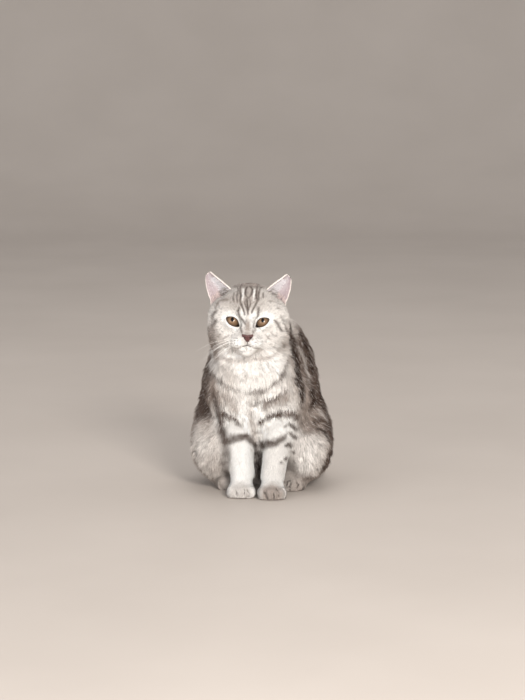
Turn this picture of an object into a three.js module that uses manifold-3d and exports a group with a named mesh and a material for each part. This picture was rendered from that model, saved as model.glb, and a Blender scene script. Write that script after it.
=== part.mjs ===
// A sitting shorthaired cat, life size, as a still model. Millimetres, +Z up, the cat faces -Y.
//
// The flesh and its coat are one soft body: masses of simple shape that melt into each other. That body is
// meshed over a grid, stood on the floor, and parted by thin cuts into head, neck, trunk, legs and feet.
// The ears, eyes, nose and tail are shapes of their own, let into the body with a small gap.
import * as THREE from "three";
import { mergeVertices } from "three/addons/utils/BufferGeometryUtils.js";
import Module from "manifold-3d";

const wasm = await Module();
wasm.setup();

// ---------------------------------------------------------------------------------------- driving sizes

const GAP = 0.4; // between neighbouring solids

const GRID = { head: 5.5, muzzle: 3.6, trunk: 11, thigh: 9, foreleg: 6.7, foot: 4.9 }; // mesh spacing
const SLACK = { head: 2.4, muzzle: 1.5, trunk: 10, thigh: 7, foreleg: 4.5, foot: 3.4 }; // for flat parts

const HEAD = { at: [-21.3, 25, 277], pitch: -6, yaw: -2, roll: 1.4 };
const EYE = { apart: 46, back: -30.5, up: -4, radius: 12 };
const EAR = {
  right: { baseIn: [26, 4, 44], baseOut: [54, 18, 20], tip: [64.5, 11, 69] },
  left: { baseIn: [24.5, 4, 45], baseOut: [51, 18, 20], tip: [59.5, 11, 68.3] },
  thickness: 3.2,
  cup: 0.55,
};
const NOSE = { width: 21, height: 12, depth: 10, at: [0, -54, -26] };

const FORELEGS = {
  left: { side: 1, paw: [15, 17, 12], wrist: [16, 33, 34], elbow: [28, 58, 108], shoulder: [42, 50, 162] },
  right: {
    side: -1,
    paw: [-33, 28, 12],
    wrist: [-31, 42, 34],
    elbow: [-38.5, 62, 108],
    shoulder: [-54, 52, 162],
  },
};
const HINDLEGS = {
  left: { side: 1, foot: [44, 80, 11], heel: [58, 168, 14], knee: [75, 78, 64], hip: [66, 142, 84] },
  right: { side: -1, foot: [-51, 90, 11], heel: [-60, 172, 14], knee: [-77, 80, 66], hip: [-66, 142, 84] },
};

const TAIL = { root: 19, middle: 16.5, tip: 9 }; // half thickness
const TAIL_PATH = [
  [4, 196, 40],
  [14, 226, 26],
  [42, 236, 18],
  [70, 222, 17],
  [86, 198, 16],
  [88, 172, 15],
  [78, 150, 13],
];

const FUR = {
  silver: new THREE.MeshStandardMaterial({ color: 0xcbc6c2, roughness: 0.9, metalness: 0 }),
  white: new THREE.MeshStandardMaterial({ color: 0xe9e4df, roughness: 0.9, metalness: 0 }),
  dark: new THREE.MeshStandardMaterial({ color: 0x6b5f58, roughness: 0.9, metalness: 0 }),
  earSkin: new THREE.MeshStandardMaterial({ color: 0xcfbfc3, roughness: 0.8, metalness: 0 }),
  eye: new THREE.MeshStandardMaterial({ color: 0xa9834f, roughness: 0.1, metalness: 0 }),
  nose: new THREE.MeshStandardMaterial({ color: 0x8d5450, roughness: 0.5, metalness: 0 }),
};

// ------------------------------------------------------------------------------------------ soft masses

const vector = (place) => new THREE.Vector3(...place);
const radians = THREE.MathUtils.degToRad;

/** An ellipsoid mass: centre, half sizes along its own axes, turn in degrees about X, Y and Z. */
function ball(at, size, turn = [0, 0, 0], melt = 12) {
  const centre = vector(at);
  const spin = new THREE.Matrix4().makeRotationFromEuler(new THREE.Euler(...turn.map(radians))).transpose();
  const near = new THREE.Vector3();
  const distance = (point) => {
    near.copy(point).sub(centre).applyMatrix4(spin);
    const x = near.x / size[0];
    const y = near.y / size[1];
    const z = near.z / size[2];
    const reach = Math.hypot(x, y, z);
    const slope = Math.hypot(x / size[0], y / size[1], z / size[2]);
    return slope < 1e-9 ? -Math.min(...size) : (reach * (reach - 1)) / slope;
  };
  return { distance, melt };
}

/** A limb mass: a line from one place to another, thick at one end and thin at the other. */
function limb(from, to, fromRadius, toRadius, melt = 12) {
  const start = vector(from);
  const along = vector(to).sub(start);
  const lengthSquared = along.lengthSq();
  const near = new THREE.Vector3();
  const distance = (point) => {
    near.copy(point).sub(start);
    const share = THREE.MathUtils.clamp(near.dot(along) / lengthSquared, 0, 1);
    return near.addScaledVector(along, -share).length() - (fromRadius + share * (toRadius - fromRadius));
  };
  return { distance, melt };
}

/** The distance to the body made by melting all the masses together, negative inside. */
function bodyDistance(masses, point) {
  let body = masses[0].distance(point);
  for (let i = 1; i < masses.length; i++) {
    const mass = masses[i].distance(point);
    const melt = Math.abs(masses[i].melt);
    const carve = masses[i].melt < 0;
    const other = carve ? -mass : mass;
    const blend = Math.max(melt - Math.abs(body - other), 0) / melt;
    const extra = (blend * blend * melt) / 4;
    body = carve ? Math.max(body, other) + extra : Math.min(body, other) - extra;
  }
  return body;
}

/** A mass that hollows the body instead of adding to it. */
const carved = (mass) => ({ ...mass, melt: -mass.melt });

const headFrame = new THREE.Matrix4()
  .makeRotationFromEuler(new THREE.Euler(radians(HEAD.pitch), radians(HEAD.roll), radians(HEAD.yaw), "ZYX"))
  .setPosition(...HEAD.at);
const intoHead = headFrame.clone().invert();

/** The same mass, given in the head's own frame. */
function onHead(mass) {
  const near = new THREE.Vector3();
  return { ...mass, distance: (point) => mass.distance(near.copy(point).applyMatrix4(intoHead)) };
}

/** A place in the head's frame, in the body's frame. */
const headPlace = (place) => vector(place).applyMatrix4(headFrame);

/** The round skull, full cheeks, short muzzle and chin. */
function headMasses() {
  const middle = [
    ball([0, 12, 6], [55, 52, 45], [0, 0, 0], 14),
    ball([0, -8, 20], [39, 33, 26], [0, 0, 0], 14),
    ball([0, 6, -30], [57, 40, 31], [0, 0, 0], 14),
    limb([0, -30, 8], [0, -47, -22], 12, 9.5, 9),
    ball([0, -32, -32], [24, 20, 18], [0, 0, 0], 10),
    ball([0, -38, -48], [12, 12, 9], [0, 0, 0], 7),
  ];
  const paired = [-1, 1].flatMap((side) => [
    ball([side * 36, 5, -14], [26, 35, 30], [0, 0, side * 12], 14),
    ball([side * 33, -2, 8], [25, 30, 24], [0, 0, side * 10], 14),
    ball([side * 11.5, -43, -34], [13.5, 12, 10.5], [0, 0, side * 14], 4),
  ]);
  return [...middle, ...paired].map(onHead);
}

/** Neck, shoulders, ribs, belly, rump and the soft chest. */
function trunkMasses() {
  return [
    ball([0, 148, 70], [97, 82, 80], [0, 0, 0], 20),
    ball([-2, 126, 118], [98, 76, 74], [-14, 0, 0], 24),
    ball([-4, 104, 168], [91, 68, 66], [-20, 0, 0], 24),
    ball([-1, 84, 212], [80, 56, 50], [-20, 0, 0], 24),
    ball([-8, 62, 244], [72, 48, 40], [-20, 0, 0], 20),
    ball([-15, 34, 200], [62, 38, 46], [8, 0, 0], 20),
    ball([-10, 46, 150], [46, 34, 50], [0, 0, 0], 16),
  ];
}

/** One foreleg: shoulder, elbow, straight forearm, and a broad round paw with four toes. */
function forelegMasses({ side, paw, wrist, elbow, shoulder }) {
  return [
    limb(shoulder, elbow, 38, 26.5, 18),
    limb(elbow, wrist, 25.5, 18, 9),
    limb(wrist, [paw[0], paw[1] + 6, paw[2] + 4], 18, 16, 7),
    ...pawMasses(paw, side),
  ];
}

/** A paw: its pad and a row of toes that fans out, the middle two ahead. */
function pawMasses([x, y, z], side, width = 45) {
  const toes = [-1.5, -0.5, 0.5, 1.5].map((step) => {
    const across = (step * width) / 4;
    const ahead = 5 * (1 - Math.abs(step) / 1.5);
    return ball([x + across, y - 12 - ahead, z - 3], [7.2, 11, 11.5], [0, 0, -step * 9], 3);
  });
  return [ball([x, y, z - 2], [width / 2 - 1, 20, 15.5], [0, 0, side * -3], 8), ...toes];
}

/** One folded hind leg: the heavy thigh, the knee, and the long foot flat on the floor. */
function hindlegMasses({ side, foot, heel, knee, hip }) {
  return [
    ball([knee[0] * 0.93, 110, 72], [38, 64, 62], [0, 0, side * -6], 18),
    ball(knee, [31, 36, 46], [0, side * 8, 0], 20),
    limb(hip, [heel[0], heel[1] - 12, 34], 40, 24, 16),
    limb(heel, [foot[0], foot[1], foot[2]], 17, 15, 10),
    ...pawMasses(foot, side, 40),
  ];
}

const FLESH = [
  ...trunkMasses(),
  ...Object.values(HINDLEGS).flatMap(hindlegMasses),
  ...Object.values(FORELEGS).flatMap(forelegMasses),
  ...headMasses(),
];

// ------------------------------------------------------------------------------------- meshing the body

/** A closed mesh of the body inside a box, as a solid: one vertex in each cell that the surface crosses. */
function fleshSolid(low, high, spacing, slack) {
  const counts = low.map((start, axis) => Math.ceil((high[axis] - start) / spacing) + 1);
  const strides = [1, counts[0], counts[0] * counts[1]];
  const place = (i, j, k) => new THREE.Vector3(i, j, k).multiplyScalar(spacing).add(new THREE.Vector3(...low));
  const field = new Float32Array(counts[0] * counts[1] * counts[2]);
  for (let k = 0; k < counts[2]; k++)
    for (let j = 0; j < counts[1]; j++)
      for (let i = 0; i < counts[0]; i++) {
        const edge = [i, j, k].some((n, axis) => n === 0 || n === counts[axis] - 1);
        const here = bodyDistance(FLESH, place(i, j, k));
        field[i + j * strides[1] + k * strides[2]] = edge ? Math.max(here, spacing / 2) : here;
      }
  openPinches(field, counts, strides, spacing);

  const cellVertex = new Map();
  const positions = [];
  const addCell = (i, j, k) => {
    const base = i + j * strides[1] + k * strides[2];
    const crossing = new THREE.Vector3();
    let crossings = 0;
    for (let axis = 0; axis < 3; axis++)
      for (let corner = 0; corner < 4; corner++) {
        const offset = [0, 0, 0];
        offset[(axis + 1) % 3] = corner & 1;
        offset[(axis + 2) % 3] = corner >> 1;
        const start = base + offset[0] + offset[1] * strides[1] + offset[2] * strides[2];
        const a = field[start];
        const b = field[start + strides[axis]];
        if (a < 0 === b < 0) continue;
        offset[axis] = a / (a - b);
        crossing.add(new THREE.Vector3(...offset));
        crossings++;
      }
    if (!crossings) return;
    crossing.divideScalar(crossings).add(new THREE.Vector3(i, j, k)).multiplyScalar(spacing).add(vector(low));
    cellVertex.set(base, positions.length / 3);
    positions.push(...ontoSurface(crossing, low, high, spacing));
  };
  for (let k = 0; k < counts[2] - 1; k++)
    for (let j = 0; j < counts[1] - 1; j++) for (let i = 0; i < counts[0] - 1; i++) addCell(i, j, k);

  const triangles = [];
  for (let k = 0; k < counts[2] - 1; k++)
    for (let j = 0; j < counts[1] - 1; j++)
      for (let i = 0; i < counts[0] - 1; i++)
        for (let axis = 0; axis < 3; axis++) {
          const base = i + j * strides[1] + k * strides[2];
          const inside = field[base] < 0;
          if (inside === field[base + strides[axis]] < 0) continue;
          const u = strides[(axis + 1) % 3];
          const v = strides[(axis + 2) % 3];
          const around = [base - u - v, base - v, base, base - u].map((cell) => cellVertex.get(cell));
          const [p, q, r, s] = inside ? around : around.reverse();
          triangles.push(p, q, r, p, r, s);
        }
  return solidOf(...simplified(positions, triangles, slack));
}

/** Moves a vertex along the body's slope onto its surface, unless it lies on the meshing box's own wall. */
function ontoSurface(point, low, high, spacing) {
  const onWall = point.toArray().some((n, axis) => n < low[axis] + spacing || n > high[axis] - spacing);
  if (onWall) return point.toArray();
  const moved = point.clone();
  const step = 0.05;
  for (let pass = 0; pass < 3; pass++) {
    const here = bodyDistance(FLESH, moved);
    const slope = new THREE.Vector3(
      bodyDistance(FLESH, moved.clone().setX(moved.x + step)) - here,
      bodyDistance(FLESH, moved.clone().setY(moved.y + step)) - here,
      bodyDistance(FLESH, moved.clone().setZ(moved.z + step)) - here,
    ).divideScalar(step);
    moved.addScaledVector(slope, -here / Math.max(slope.lengthSq(), 0.2));
  }
  const farthest = 0.45 * spacing;
  return moved.sub(point).clampLength(0, farthest).add(point).toArray();
}

/** Opens the field wherever two opposite corners of a grid square would meet in a pinched edge. */
function openPinches(field, counts, strides, spacing) {
  for (let changed = true; changed; ) {
    changed = false;
    for (let base = 0; base < field.length; base++)
      for (let axis = 0; axis < 3; axis++) {
        const [u, v] = [strides[(axis + 1) % 3], strides[(axis + 2) % 3]];
        if (base + u + v >= field.length) continue;
        const corners = [base, base + u, base + u + v, base + v];
        const inside = corners.map((n) => field[n] < 0);
        if (inside[0] !== inside[2] || inside[1] !== inside[3] || inside[0] === inside[1]) continue;
        const pair = inside[0] ? [corners[0], corners[2]] : [corners[1], corners[3]];
        field[field[pair[0]] > field[pair[1]] ? pair[0] : pair[1]] = 0.02 * spacing;
        changed = true;
      }
  }
}

/** The squared distances to a triangle's plane, as the ten numbers of a quadric. */
function planeQuadric(a, b, c) {
  const { normal, constant: d } = new THREE.Plane().setFromCoplanarPoints(a, b, c);
  const { x, y, z } = normal;
  return [x * x, x * y, x * z, x * d, y * y, y * z, y * d, z * z, z * d, d * d];
}

/** A quadric's value at a spot: the sum of the squared distances to its planes. */
function quadricAt(q, { x, y, z }) {
  const across = q[0] * x * x + q[4] * y * y + q[7] * z * z + q[9];
  return across + 2 * (q[1] * x * y + q[2] * x * z + q[5] * y * z + q[3] * x + q[6] * y + q[8] * z);
}

/** A triangle's normal. */
const facing = (corners) => new THREE.Triangle(...corners).getNormal(new THREE.Vector3());

/** How full a triangle is for its longest side: 1.7 for an even one, near 0 for a sliver. */
function thinness(corners) {
  const sides = corners.map((corner, n) => corner.distanceToSquared(corners[(n + 1) % 3]));
  return (4 * new THREE.Triangle(...corners).getArea()) / Math.max(...sides, 1e-9);
}

const SHORT_FIRST = 1e-4; // how much an edge's length counts against joining it
const SOUND = { thinness: 0.4, turn: 0.5, wasThin: 0.02 }; // what a face may come to when an edge is joined

/** Joins neighbouring vertices where the surface is nearly flat, so that only bends keep small triangles. */
function simplified(positions, triangles, slack) {
  const spots = [];
  for (let i = 0; i < positions.length; i += 3) spots.push(new THREE.Vector3().fromArray(positions, i));
  const facesAt = spots.map(() => new Set());
  const faces = [];
  const quadrics = spots.map(() => new Array(10).fill(0));
  for (let i = 0; i < triangles.length; i += 3) {
    const face = triangles.slice(i, i + 3);
    const plane = planeQuadric(...face.map((v) => spots[v]));
    face.forEach((v) => {
      facesAt[v].add(face);
      plane.forEach((n, k) => (quadrics[v][k] += n));
    });
    faces.push(face);
  }
  const neighbours = (v) => new Set([...facesAt[v]].flat().filter((w) => w !== v));
  const bestSpot = (a, b) => {
    const total = quadrics[a].map((n, k) => n + quadrics[b][k]);
    const middle = spots[a].clone().lerp(spots[b], 0.5);
    const choices = [spots[a], spots[b], middle].map((spot) => ({ spot, cost: quadricAt(total, spot) }));
    const best = choices.reduce((least, choice) => (choice.cost < least.cost ? choice : least));
    const length = spots[a].distanceToSquared(spots[b]);
    return { a, b, total, spot: best.spot.clone(), cost: best.cost + SHORT_FIRST * length };
  };
  const staysSound = (v, gone, spot) =>
    [...facesAt[v]].every((face) => {
      if (face.includes(gone)) return true;
      const before = face.map((w) => spots[w]);
      const after = face.map((w) => (w === v ? spot : spots[w]));
      const turn = facing(after).dot(facing(before));
      const wasThin = thinness(before);
      const keepsShape = thinness(after) > Math.min(SOUND.thinness, wasThin);
      return keepsShape && (turn > SOUND.turn || wasThin < SOUND.wasThin);
    });
  for (let joined = true; joined; ) {
    joined = false;
    const edges = [];
    for (const face of faces)
      for (let n = 0; face.alive !== false && n < 3; n++) {
        const [a, b] = [face[n], face[(n + 1) % 3]];
        if (a < b) edges.push(bestSpot(a, b));
      }
    const flat = edges.filter(({ cost }) => cost < slack * slack).sort((p, q) => p.cost - q.cost);
    const busy = new Set();
    for (const { a, b, total, spot } of flat) {
      if (busy.has(a) || busy.has(b)) continue;
      const aroundB = neighbours(b);
      const shared = [...neighbours(a)].filter((v) => aroundB.has(v));
      if (shared.length !== 2 || !staysSound(a, b, spot) || !staysSound(b, a, spot)) continue;
      for (const v of [...aroundB, ...neighbours(a)]) busy.add(v);
      for (const face of [...facesAt[b]]) {
        if (face.includes(a)) {
          face.alive = false;
          face.forEach((v) => facesAt[v].delete(face));
        } else {
          face[face.indexOf(b)] = a;
          facesAt[a].add(face);
        }
      }
      facesAt[b].clear();
      spots[a].copy(spot);
      quadrics[a] = total;
      joined = true;
    }
  }
  const kept = faces.filter((face) => face.alive !== false);
  const order = new Map([...new Set(kept.flat())].map((v, n) => [v, n]));
  return [[...order.keys()].flatMap((v) => spots[v].toArray()), kept.flat().map((v) => order.get(v))];
}

// ------------------------------------------------------------------------------------- cutting and joining

/** A solid from plain vertex and triangle lists. */
function solidOf(positions, triangles) {
  return new wasm.Manifold(
    new wasm.Mesh({
      numProp: 3,
      vertProperties: new Float32Array(positions),
      triVerts: new Uint32Array(triangles),
    }),
  );
}

/** A solid skinned over rings of points that all run the same way round, with flat ends. */
function loftedSolid(rings) {
  const points = rings[0].length;
  const at = (row, n) => row * points + (n % points);
  const triangles = [];
  for (let row = 0; row < rings.length - 1; row++)
    for (let n = 0; n < points; n++) {
      triangles.push(at(row, n), at(row, n + 1), at(row + 1, n));
      triangles.push(at(row, n + 1), at(row + 1, n + 1), at(row + 1, n));
    }
  const top = rings.length - 1;
  for (let n = 0; n < points / 2; n++) {
    const [a, b, c, d] = [n, n + 1, points - n - 1, (points - n) % points];
    if (a !== d) triangles.push(at(0, a), at(0, d), at(0, b), at(top, a), at(top, b), at(top, d));
    if (b !== c) triangles.push(at(0, b), at(0, d), at(0, c), at(top, b), at(top, c), at(top, d));
  }
  const positions = rings.flat().flatMap((spot) => spot.toArray());
  const solid = solidOf(positions, triangles);
  return solid.volume() > 0 ? solid : solidOf(positions, triangles.reverse());
}

/** A solid from any closed three.js geometry. */
function solidFrom(geometry) {
  const bare = new THREE.BufferGeometry().setAttribute("position", geometry.getAttribute("position"));
  bare.setIndex(geometry.index);
  const merged = mergeVertices(bare, 1e-3);
  return solidOf(merged.attributes.position.array, merged.index.array);
}

/** A cut solid without the slivers and stray vertices that cutting leaves. */
function tidied(solid) {
  const { numProp, numVert, vertProperties, triVerts } = solid.getMesh();
  const positions = [];
  for (let i = 0; i < numVert; i++) positions.push(...vertProperties.subarray(i * numProp, i * numProp + 3));
  return solidOf(...simplified(positions, [...triVerts], GAP / 4));
}

/** The largest piece of a solid: cuts can shave off a loose crumb. */
function largestPiece(solid) {
  return solid.decompose().reduce((most, piece) => (piece.volume() > most.volume() ? piece : most));
}

/** A three.js mesh from a solid. */
function meshOf(name, solid, material) {
  const { numProp, numVert, vertProperties, triVerts } = solid.getMesh();
  const positions = new Float32Array(numVert * 3);
  for (let i = 0; i < numVert; i++) {
    positions.set(vertProperties.subarray(i * numProp, i * numProp + 3), i * 3);
  }
  const geometry = new THREE.BufferGeometry();
  geometry.setAttribute("position", new THREE.BufferAttribute(positions, 3));
  geometry.setIndex(new THREE.BufferAttribute(triVerts, 1));
  geometry.computeVertexNormals();
  const mesh = new THREE.Mesh(geometry, material);
  mesh.name = name;
  return mesh;
}

/** A large block whose lower face passes through a place, with that face turned by the tilt. */
function blockAbove(place, tilt, size = 600) {
  const block = new THREE.BoxGeometry(size, size, size).translate(0, 0, size / 2);
  return solidFrom(block.rotateX(radians(tilt)).translate(...place));
}

/** A box from its lowest and highest corners. */
function blockBetween(low, high) {
  const size = high.map((n, axis) => n - low[axis]);
  const middle = high.map((n, axis) => (n + low[axis]) / 2);
  return solidFrom(new THREE.BoxGeometry(...size).translate(...middle));
}

/** An ellipsoid cutter. */
function ovalCutter(at, size, turn = [0, 0, 0]) {
  const oval = new THREE.SphereGeometry(1, 14, 9).scale(...size);
  oval.rotateX(radians(turn[0])).rotateY(radians(turn[1])).rotateZ(radians(turn[2]));
  return solidFrom(oval.translate(...at));
}

// -------------------------------------------------------------------------------- ears, eyes, nose, tail

/** A cupped ear, nearly straight within and round outside: lens-shaped rings from its root to its tip. */
function earSolid(side, grow = 0) {
  const { baseIn, baseOut, tip: top } = side > 0 ? EAR.left : EAR.right;
  const [rootIn, rootOut, tip] = [baseIn, baseOut, top].map(([x, y, z]) => headPlace([side * x, y, z]));
  const root = rootIn.clone().add(rootOut).divideScalar(2);
  const rise = tip.clone().sub(root);
  const across = rootOut.clone().sub(rootIn);
  const halfWidth = across.length() / 2;
  across.normalize();
  const forward = new THREE.Vector3().crossVectors(rise, across).normalize();
  if (forward.y > 0) forward.negate();
  const rows = 9;
  const points = 14;
  const rings = [];
  for (let row = 0; row <= rows; row++) {
    const share = row / rows;
    const height = -0.22 + 1.215 * (1 - Math.pow(1 - share, 1.5));
    const hidden = 1 - 0.6 * height * height;
    const inner = halfWidth * (height > 0 ? Math.pow(1 - height, 0.72) : hidden);
    const outer = halfWidth * (height > 0 ? Math.sqrt(1 - Math.pow(height, 1.5)) : hidden);
    const wall = EAR.thickness * (1.25 - 0.45 * share) + 2 * grow;
    const beyond = row === 0 ? -2 * grow : 0;
    const middle = root.clone().addScaledVector(rise, height + beyond / rise.length());
    const ring = [];
    for (let n = 0; n < points; n++) {
      const angle = (n / points) * 2 * Math.PI;
      const reach = Math.cos(angle) < 0 ? inner : outer;
      const sideways = Math.cos(angle) * (reach + grow);
      const cupped = EAR.cup * ((inner + outer) / 2) * (Math.pow(sideways / reach, 2) - 0.5);
      const spot = middle.clone().addScaledVector(across, sideways);
      ring.push(spot.addScaledVector(forward, cupped + Math.sin(angle) * (wall / 2)));
    }
    rings.push(ring);
  }
  return loftedSolid(rings);
}

/** An eyeball, set where the lids part. */
function eyeGeometry(side, radius) {
  const at = headPlace([(side * EYE.apart) / 2, EYE.back, EYE.up]);
  return new THREE.SphereGeometry(radius, 14, 9).translate(...at.toArray());
}

/** The nose leather: a soft wedge, wide above and narrow below. */
function noseGeometry(grow = 0) {
  const shape = new THREE.SphereGeometry(1, 12, 8);
  const spots = shape.getAttribute("position");
  const at = vector(NOSE.at);
  for (let i = 0; i < spots.count; i++) {
    const [x, y, z] = [spots.getX(i), spots.getY(i), spots.getZ(i)];
    const taper = 0.74 + 0.34 * z;
    const spot = new THREE.Vector3(
      x * (NOSE.width / 2 + grow) * taper,
      y * (NOSE.depth / 2 + grow),
      z * (NOSE.height / 2 + grow),
    );
    const placed = spot.add(at).applyMatrix4(headFrame);
    spots.setXYZ(i, placed.x, placed.y, placed.z);
  }
  return shape;
}

/** A round length of the tail from one share of its path to another; the last length closes to a tip. */
function tailSolid(from, to, grow = 0, closeTip = true) {
  const path = new THREE.CatmullRomCurve3(TAIL_PATH.map(vector));
  const rows = Math.max(Math.round(26 * (to - from)), 6);
  const sections = [];
  for (let row = 0; row <= rows; row++) {
    const share = from + ((to - from) * row) / rows;
    const along = path.getTangentAt(share);
    const beyond = (row === rows ? 2 : row === 0 ? -2 : 0) * grow;
    const middle = path.getPointAt(share).addScaledVector(along, beyond);
    const sideways = new THREE.Vector3(0, 0, 1).cross(along).normalize();
    const upward = along.clone().cross(sideways);
    const body = THREE.MathUtils.lerp(TAIL.root, TAIL.middle, Math.min(share * 2, 1));
    const slim = share < 0.5 ? body : THREE.MathUtils.lerp(TAIL.middle, TAIL.tip, share * 2 - 1);
    const ending = closeTip ? Math.sqrt(Math.max(1 - Math.pow(Math.max(share - 0.9, 0) / 0.1, 2), 0.02)) : 1;
    const radius = slim * ending + grow;
    const section = [];
    for (let n = 0; n < 12; n++) {
      const angle = (n / 12) * 2 * Math.PI;
      section.push(
        middle
          .clone()
          .addScaledVector(sideways, Math.cos(angle) * radius)
          .addScaledVector(upward, Math.sin(angle) * radius),
      );
    }
    sections.push(section);
  }
  return loftedSolid(sections);
}

// --------------------------------------------------------------------------------------------- the parts

const HEAD_CUT = { place: [-19, 58, 249], tilt: 41 };
const NECK_CUT = { place: [-12, 60, 196], tilt: 26 };
const LEG_PARTING = -9.5; // the plane between the two forelegs

/** A box in the head's own frame. */
function headBox(low, high) {
  const size = high.map((n, axis) => n - low[axis]);
  const middle = high.map((n, axis) => (n + low[axis]) / 2);
  return solidFrom(new THREE.BoxGeometry(...size).translate(...middle).applyMatrix4(headFrame));
}

/** The block above a slanting cut, lowered by the gap when asked. */
function above({ place: [x, y, z], tilt }, grow) {
  return blockAbove([x, y, z - grow / Math.cos(radians(tilt))], tilt);
}

/** The box that holds one side's foot, up to the ankle. */
function footBox([x, y, z], halfWidth, reach, grow, innerWall) {
  const inner = innerWall === undefined ? halfWidth : Math.abs(x - innerWall) - GAP / 2;
  const [left, right] = x > LEG_PARTING ? [inner, halfWidth] : [halfWidth, inner];
  const low = [x - left - grow, y - 50 - grow, -20];
  return blockBetween(low, [x + right + grow, y + reach + grow, z + 16 + grow]);
}

const FORELEG_OVAL = [29, 35, 82];
const FOREARM = { half: 30, ahead: 30, behind: 20, low: 10, high: 74 }; // the box round it, from the wrist

/** The region of one foreleg: an oval round the elbow, with a box round the forearm down to the paw. */
function forelegRegion({ elbow: [elbowX, elbowY], wrist: [x, y] }, grow) {
  const forearm = blockBetween(
    [x - FOREARM.half - grow, y - FOREARM.ahead - grow, FOREARM.low],
    [x + FOREARM.half + grow, y + FOREARM.behind + grow, FOREARM.high + grow],
  );
  return ovalCutter([elbowX, elbowY - 4, 84], FORELEG_OVAL.map((n) => n + grow)).add(forearm);
}

const THIGH_OVAL = [46, 78, 74];

/** The regions that part the body, in the order in which they take their share. */
const REGIONS = [
  {
    name: "muzzle",
    material: FUR.white,
    spacing: GRID.muzzle,
    slack: SLACK.muzzle,
    within: [[-62, -50, 205], [19, 8, 280]],
    region: (grow) => headBox([-29 - grow, -90, -62 - grow], [29 + grow, -27 + grow, -13 + grow]),
  },
  {
    name: "head",
    material: FUR.silver,
    spacing: GRID.head,
    slack: SLACK.head,
    within: [[-104, -45, 185], [62, 130, 345]],
    region: (grow) => above(HEAD_CUT, grow),
  },
  {
    name: "neck",
    material: FUR.white,
    spacing: GRID.trunk,
    slack: SLACK.trunk,
    within: [[-120, -40, 130], [120, 190, 320]],
    region: (grow) => above(NECK_CUT, grow),
  },
  ...Object.entries(FORELEGS).map(([side, leg]) => ({
    name: `forepaw_${side}`,
    material: FUR.white,
    spacing: GRID.foot,
    slack: SLACK.foot,
    within: [[leg.paw[0] - 34, leg.paw[1] - 40, -12], [leg.paw[0] + 34, leg.paw[1] + 50, 40]],
    region: (grow) => footBox(leg.paw, 34, 34, grow, LEG_PARTING),
  })),
  ...Object.entries(FORELEGS).map(([side, leg]) => ({
    name: `foreleg_${side}`,
    material: FUR.white,
    spacing: GRID.foreleg,
    slack: SLACK.foreleg,
    within: [[leg.elbow[0] - 52, 0, 10], [leg.elbow[0] + 52, 120, 190]],
    region: (grow) =>
      forelegRegion(leg, grow).intersect(
        leg.side > 0
          ? blockBetween([LEG_PARTING + GAP / 2 - grow, -300, -300], [300, 300, 400])
          : blockBetween([-300, -300, -300], [LEG_PARTING - GAP / 2 + grow, 300, 400]),
      ),
  })),
  ...Object.entries(HINDLEGS).map(([side, leg]) => ({
    name: `hind_foot_${side}`,
    material: FUR.white,
    spacing: GRID.foot,
    slack: SLACK.foot,
    within: [[leg.foot[0] - 40, leg.foot[1] - 40, -12], [leg.foot[0] + 40, leg.foot[1] + 36, 36]],
    region: (grow) => footBox(leg.foot, 23, 18, grow),
  })),
  ...Object.entries(HINDLEGS).map(([side, leg]) => ({
    name: `thigh_${side}`,
    material: FUR.silver,
    spacing: GRID.thigh,
    slack: SLACK.thigh,
    within: [[leg.side > 0 ? 10 : -136, 20, -22], [leg.side > 0 ? 136 : -10, 220, 170]],
    region: (grow) =>
      ovalCutter([leg.side * 88, 112, 76], THIGH_OVAL.map((n) => n + grow), [0, 0, leg.side * -4]),
  })),
  {
    name: "trunk",
    material: FUR.silver,
    spacing: GRID.trunk,
    slack: SLACK.trunk,
    within: [[-140, -48, -28], [140, 252, 322]],
    region: () => blockBetween([-400, -400, -400], [400, 400, 600]),
  },
];

const cat = new THREE.Group();
const aboveFloor = blockBetween([-400, -400, 0], [400, 400, 600]);

/** The eyes, ears, nose and tail, and everything that must be cleared from the flesh to let them in. */
function addInsets() {
  const clearances = [];
  for (const [name, side] of [["left", 1], ["right", -1]]) {
    cat.add(meshOf(`ear_${name}`, earSolid(side), FUR.earSkin));
    cat.add(meshOf(`eye_${name}`, solidFrom(eyeGeometry(side, EYE.radius)), FUR.eye));
    clearances.push(earSolid(side, GAP), solidFrom(eyeGeometry(side, EYE.radius + GAP)));
  }
  cat.add(meshOf("nose", solidFrom(noseGeometry()), FUR.nose));
  clearances.push(solidFrom(noseGeometry(GAP)));
  const lengths = [["tail_base", 0, 0.36], ["tail_middle", 0.365, 0.68], ["tail_end", 0.685, 1]];
  for (const [name, from, to] of lengths)
    cat.add(meshOf(name, tidied(largestPiece(tailSolid(from, to).intersect(aboveFloor))), FUR.dark));
  clearances.push(tailSolid(0, 1, GAP));
  return clearances;
}

/** Each region's share of the flesh, less what the earlier regions and the insets have taken. */
function addFlesh(clearances) {
  const taken = [...clearances];
  for (const { name, material, spacing, slack, within, region } of REGIONS) {
    let share = fleshSolid(within[0], within[1], spacing, slack).intersect(region(0)).intersect(aboveFloor);
    for (const solid of taken) share = share.subtract(solid);
    cat.add(meshOf(name, tidied(largestPiece(share)), material));
    taken.push(region(GAP));
  }
}

addFlesh(addInsets());

// The part's origin is under the middle of the whole cat, on the floor.
const box = new THREE.Box3().setFromObject(cat);
cat.position.set(-(box.min.x + box.max.x) / 2, -(box.min.y + box.max.y) / 2, -box.min.z);
const part = new THREE.Group();
part.add(cat);

export default part;
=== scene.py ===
"""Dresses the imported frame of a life-size sitting shorthair cat: skin, coat, eyes, ears, nose and whiskers.

Shapes are worked out in millimetres in the part's frame, where the cat faces -Y, and turned into metres when
a mesh is made. One skin replaces the frame's solids, and each coat piece is a solid mesh of tapered tufts
that lie along the body and reach out to where the solids end.
"""

import logging
import math
from dataclasses import dataclass, field
from enum import Enum
from functools import partial

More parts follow.
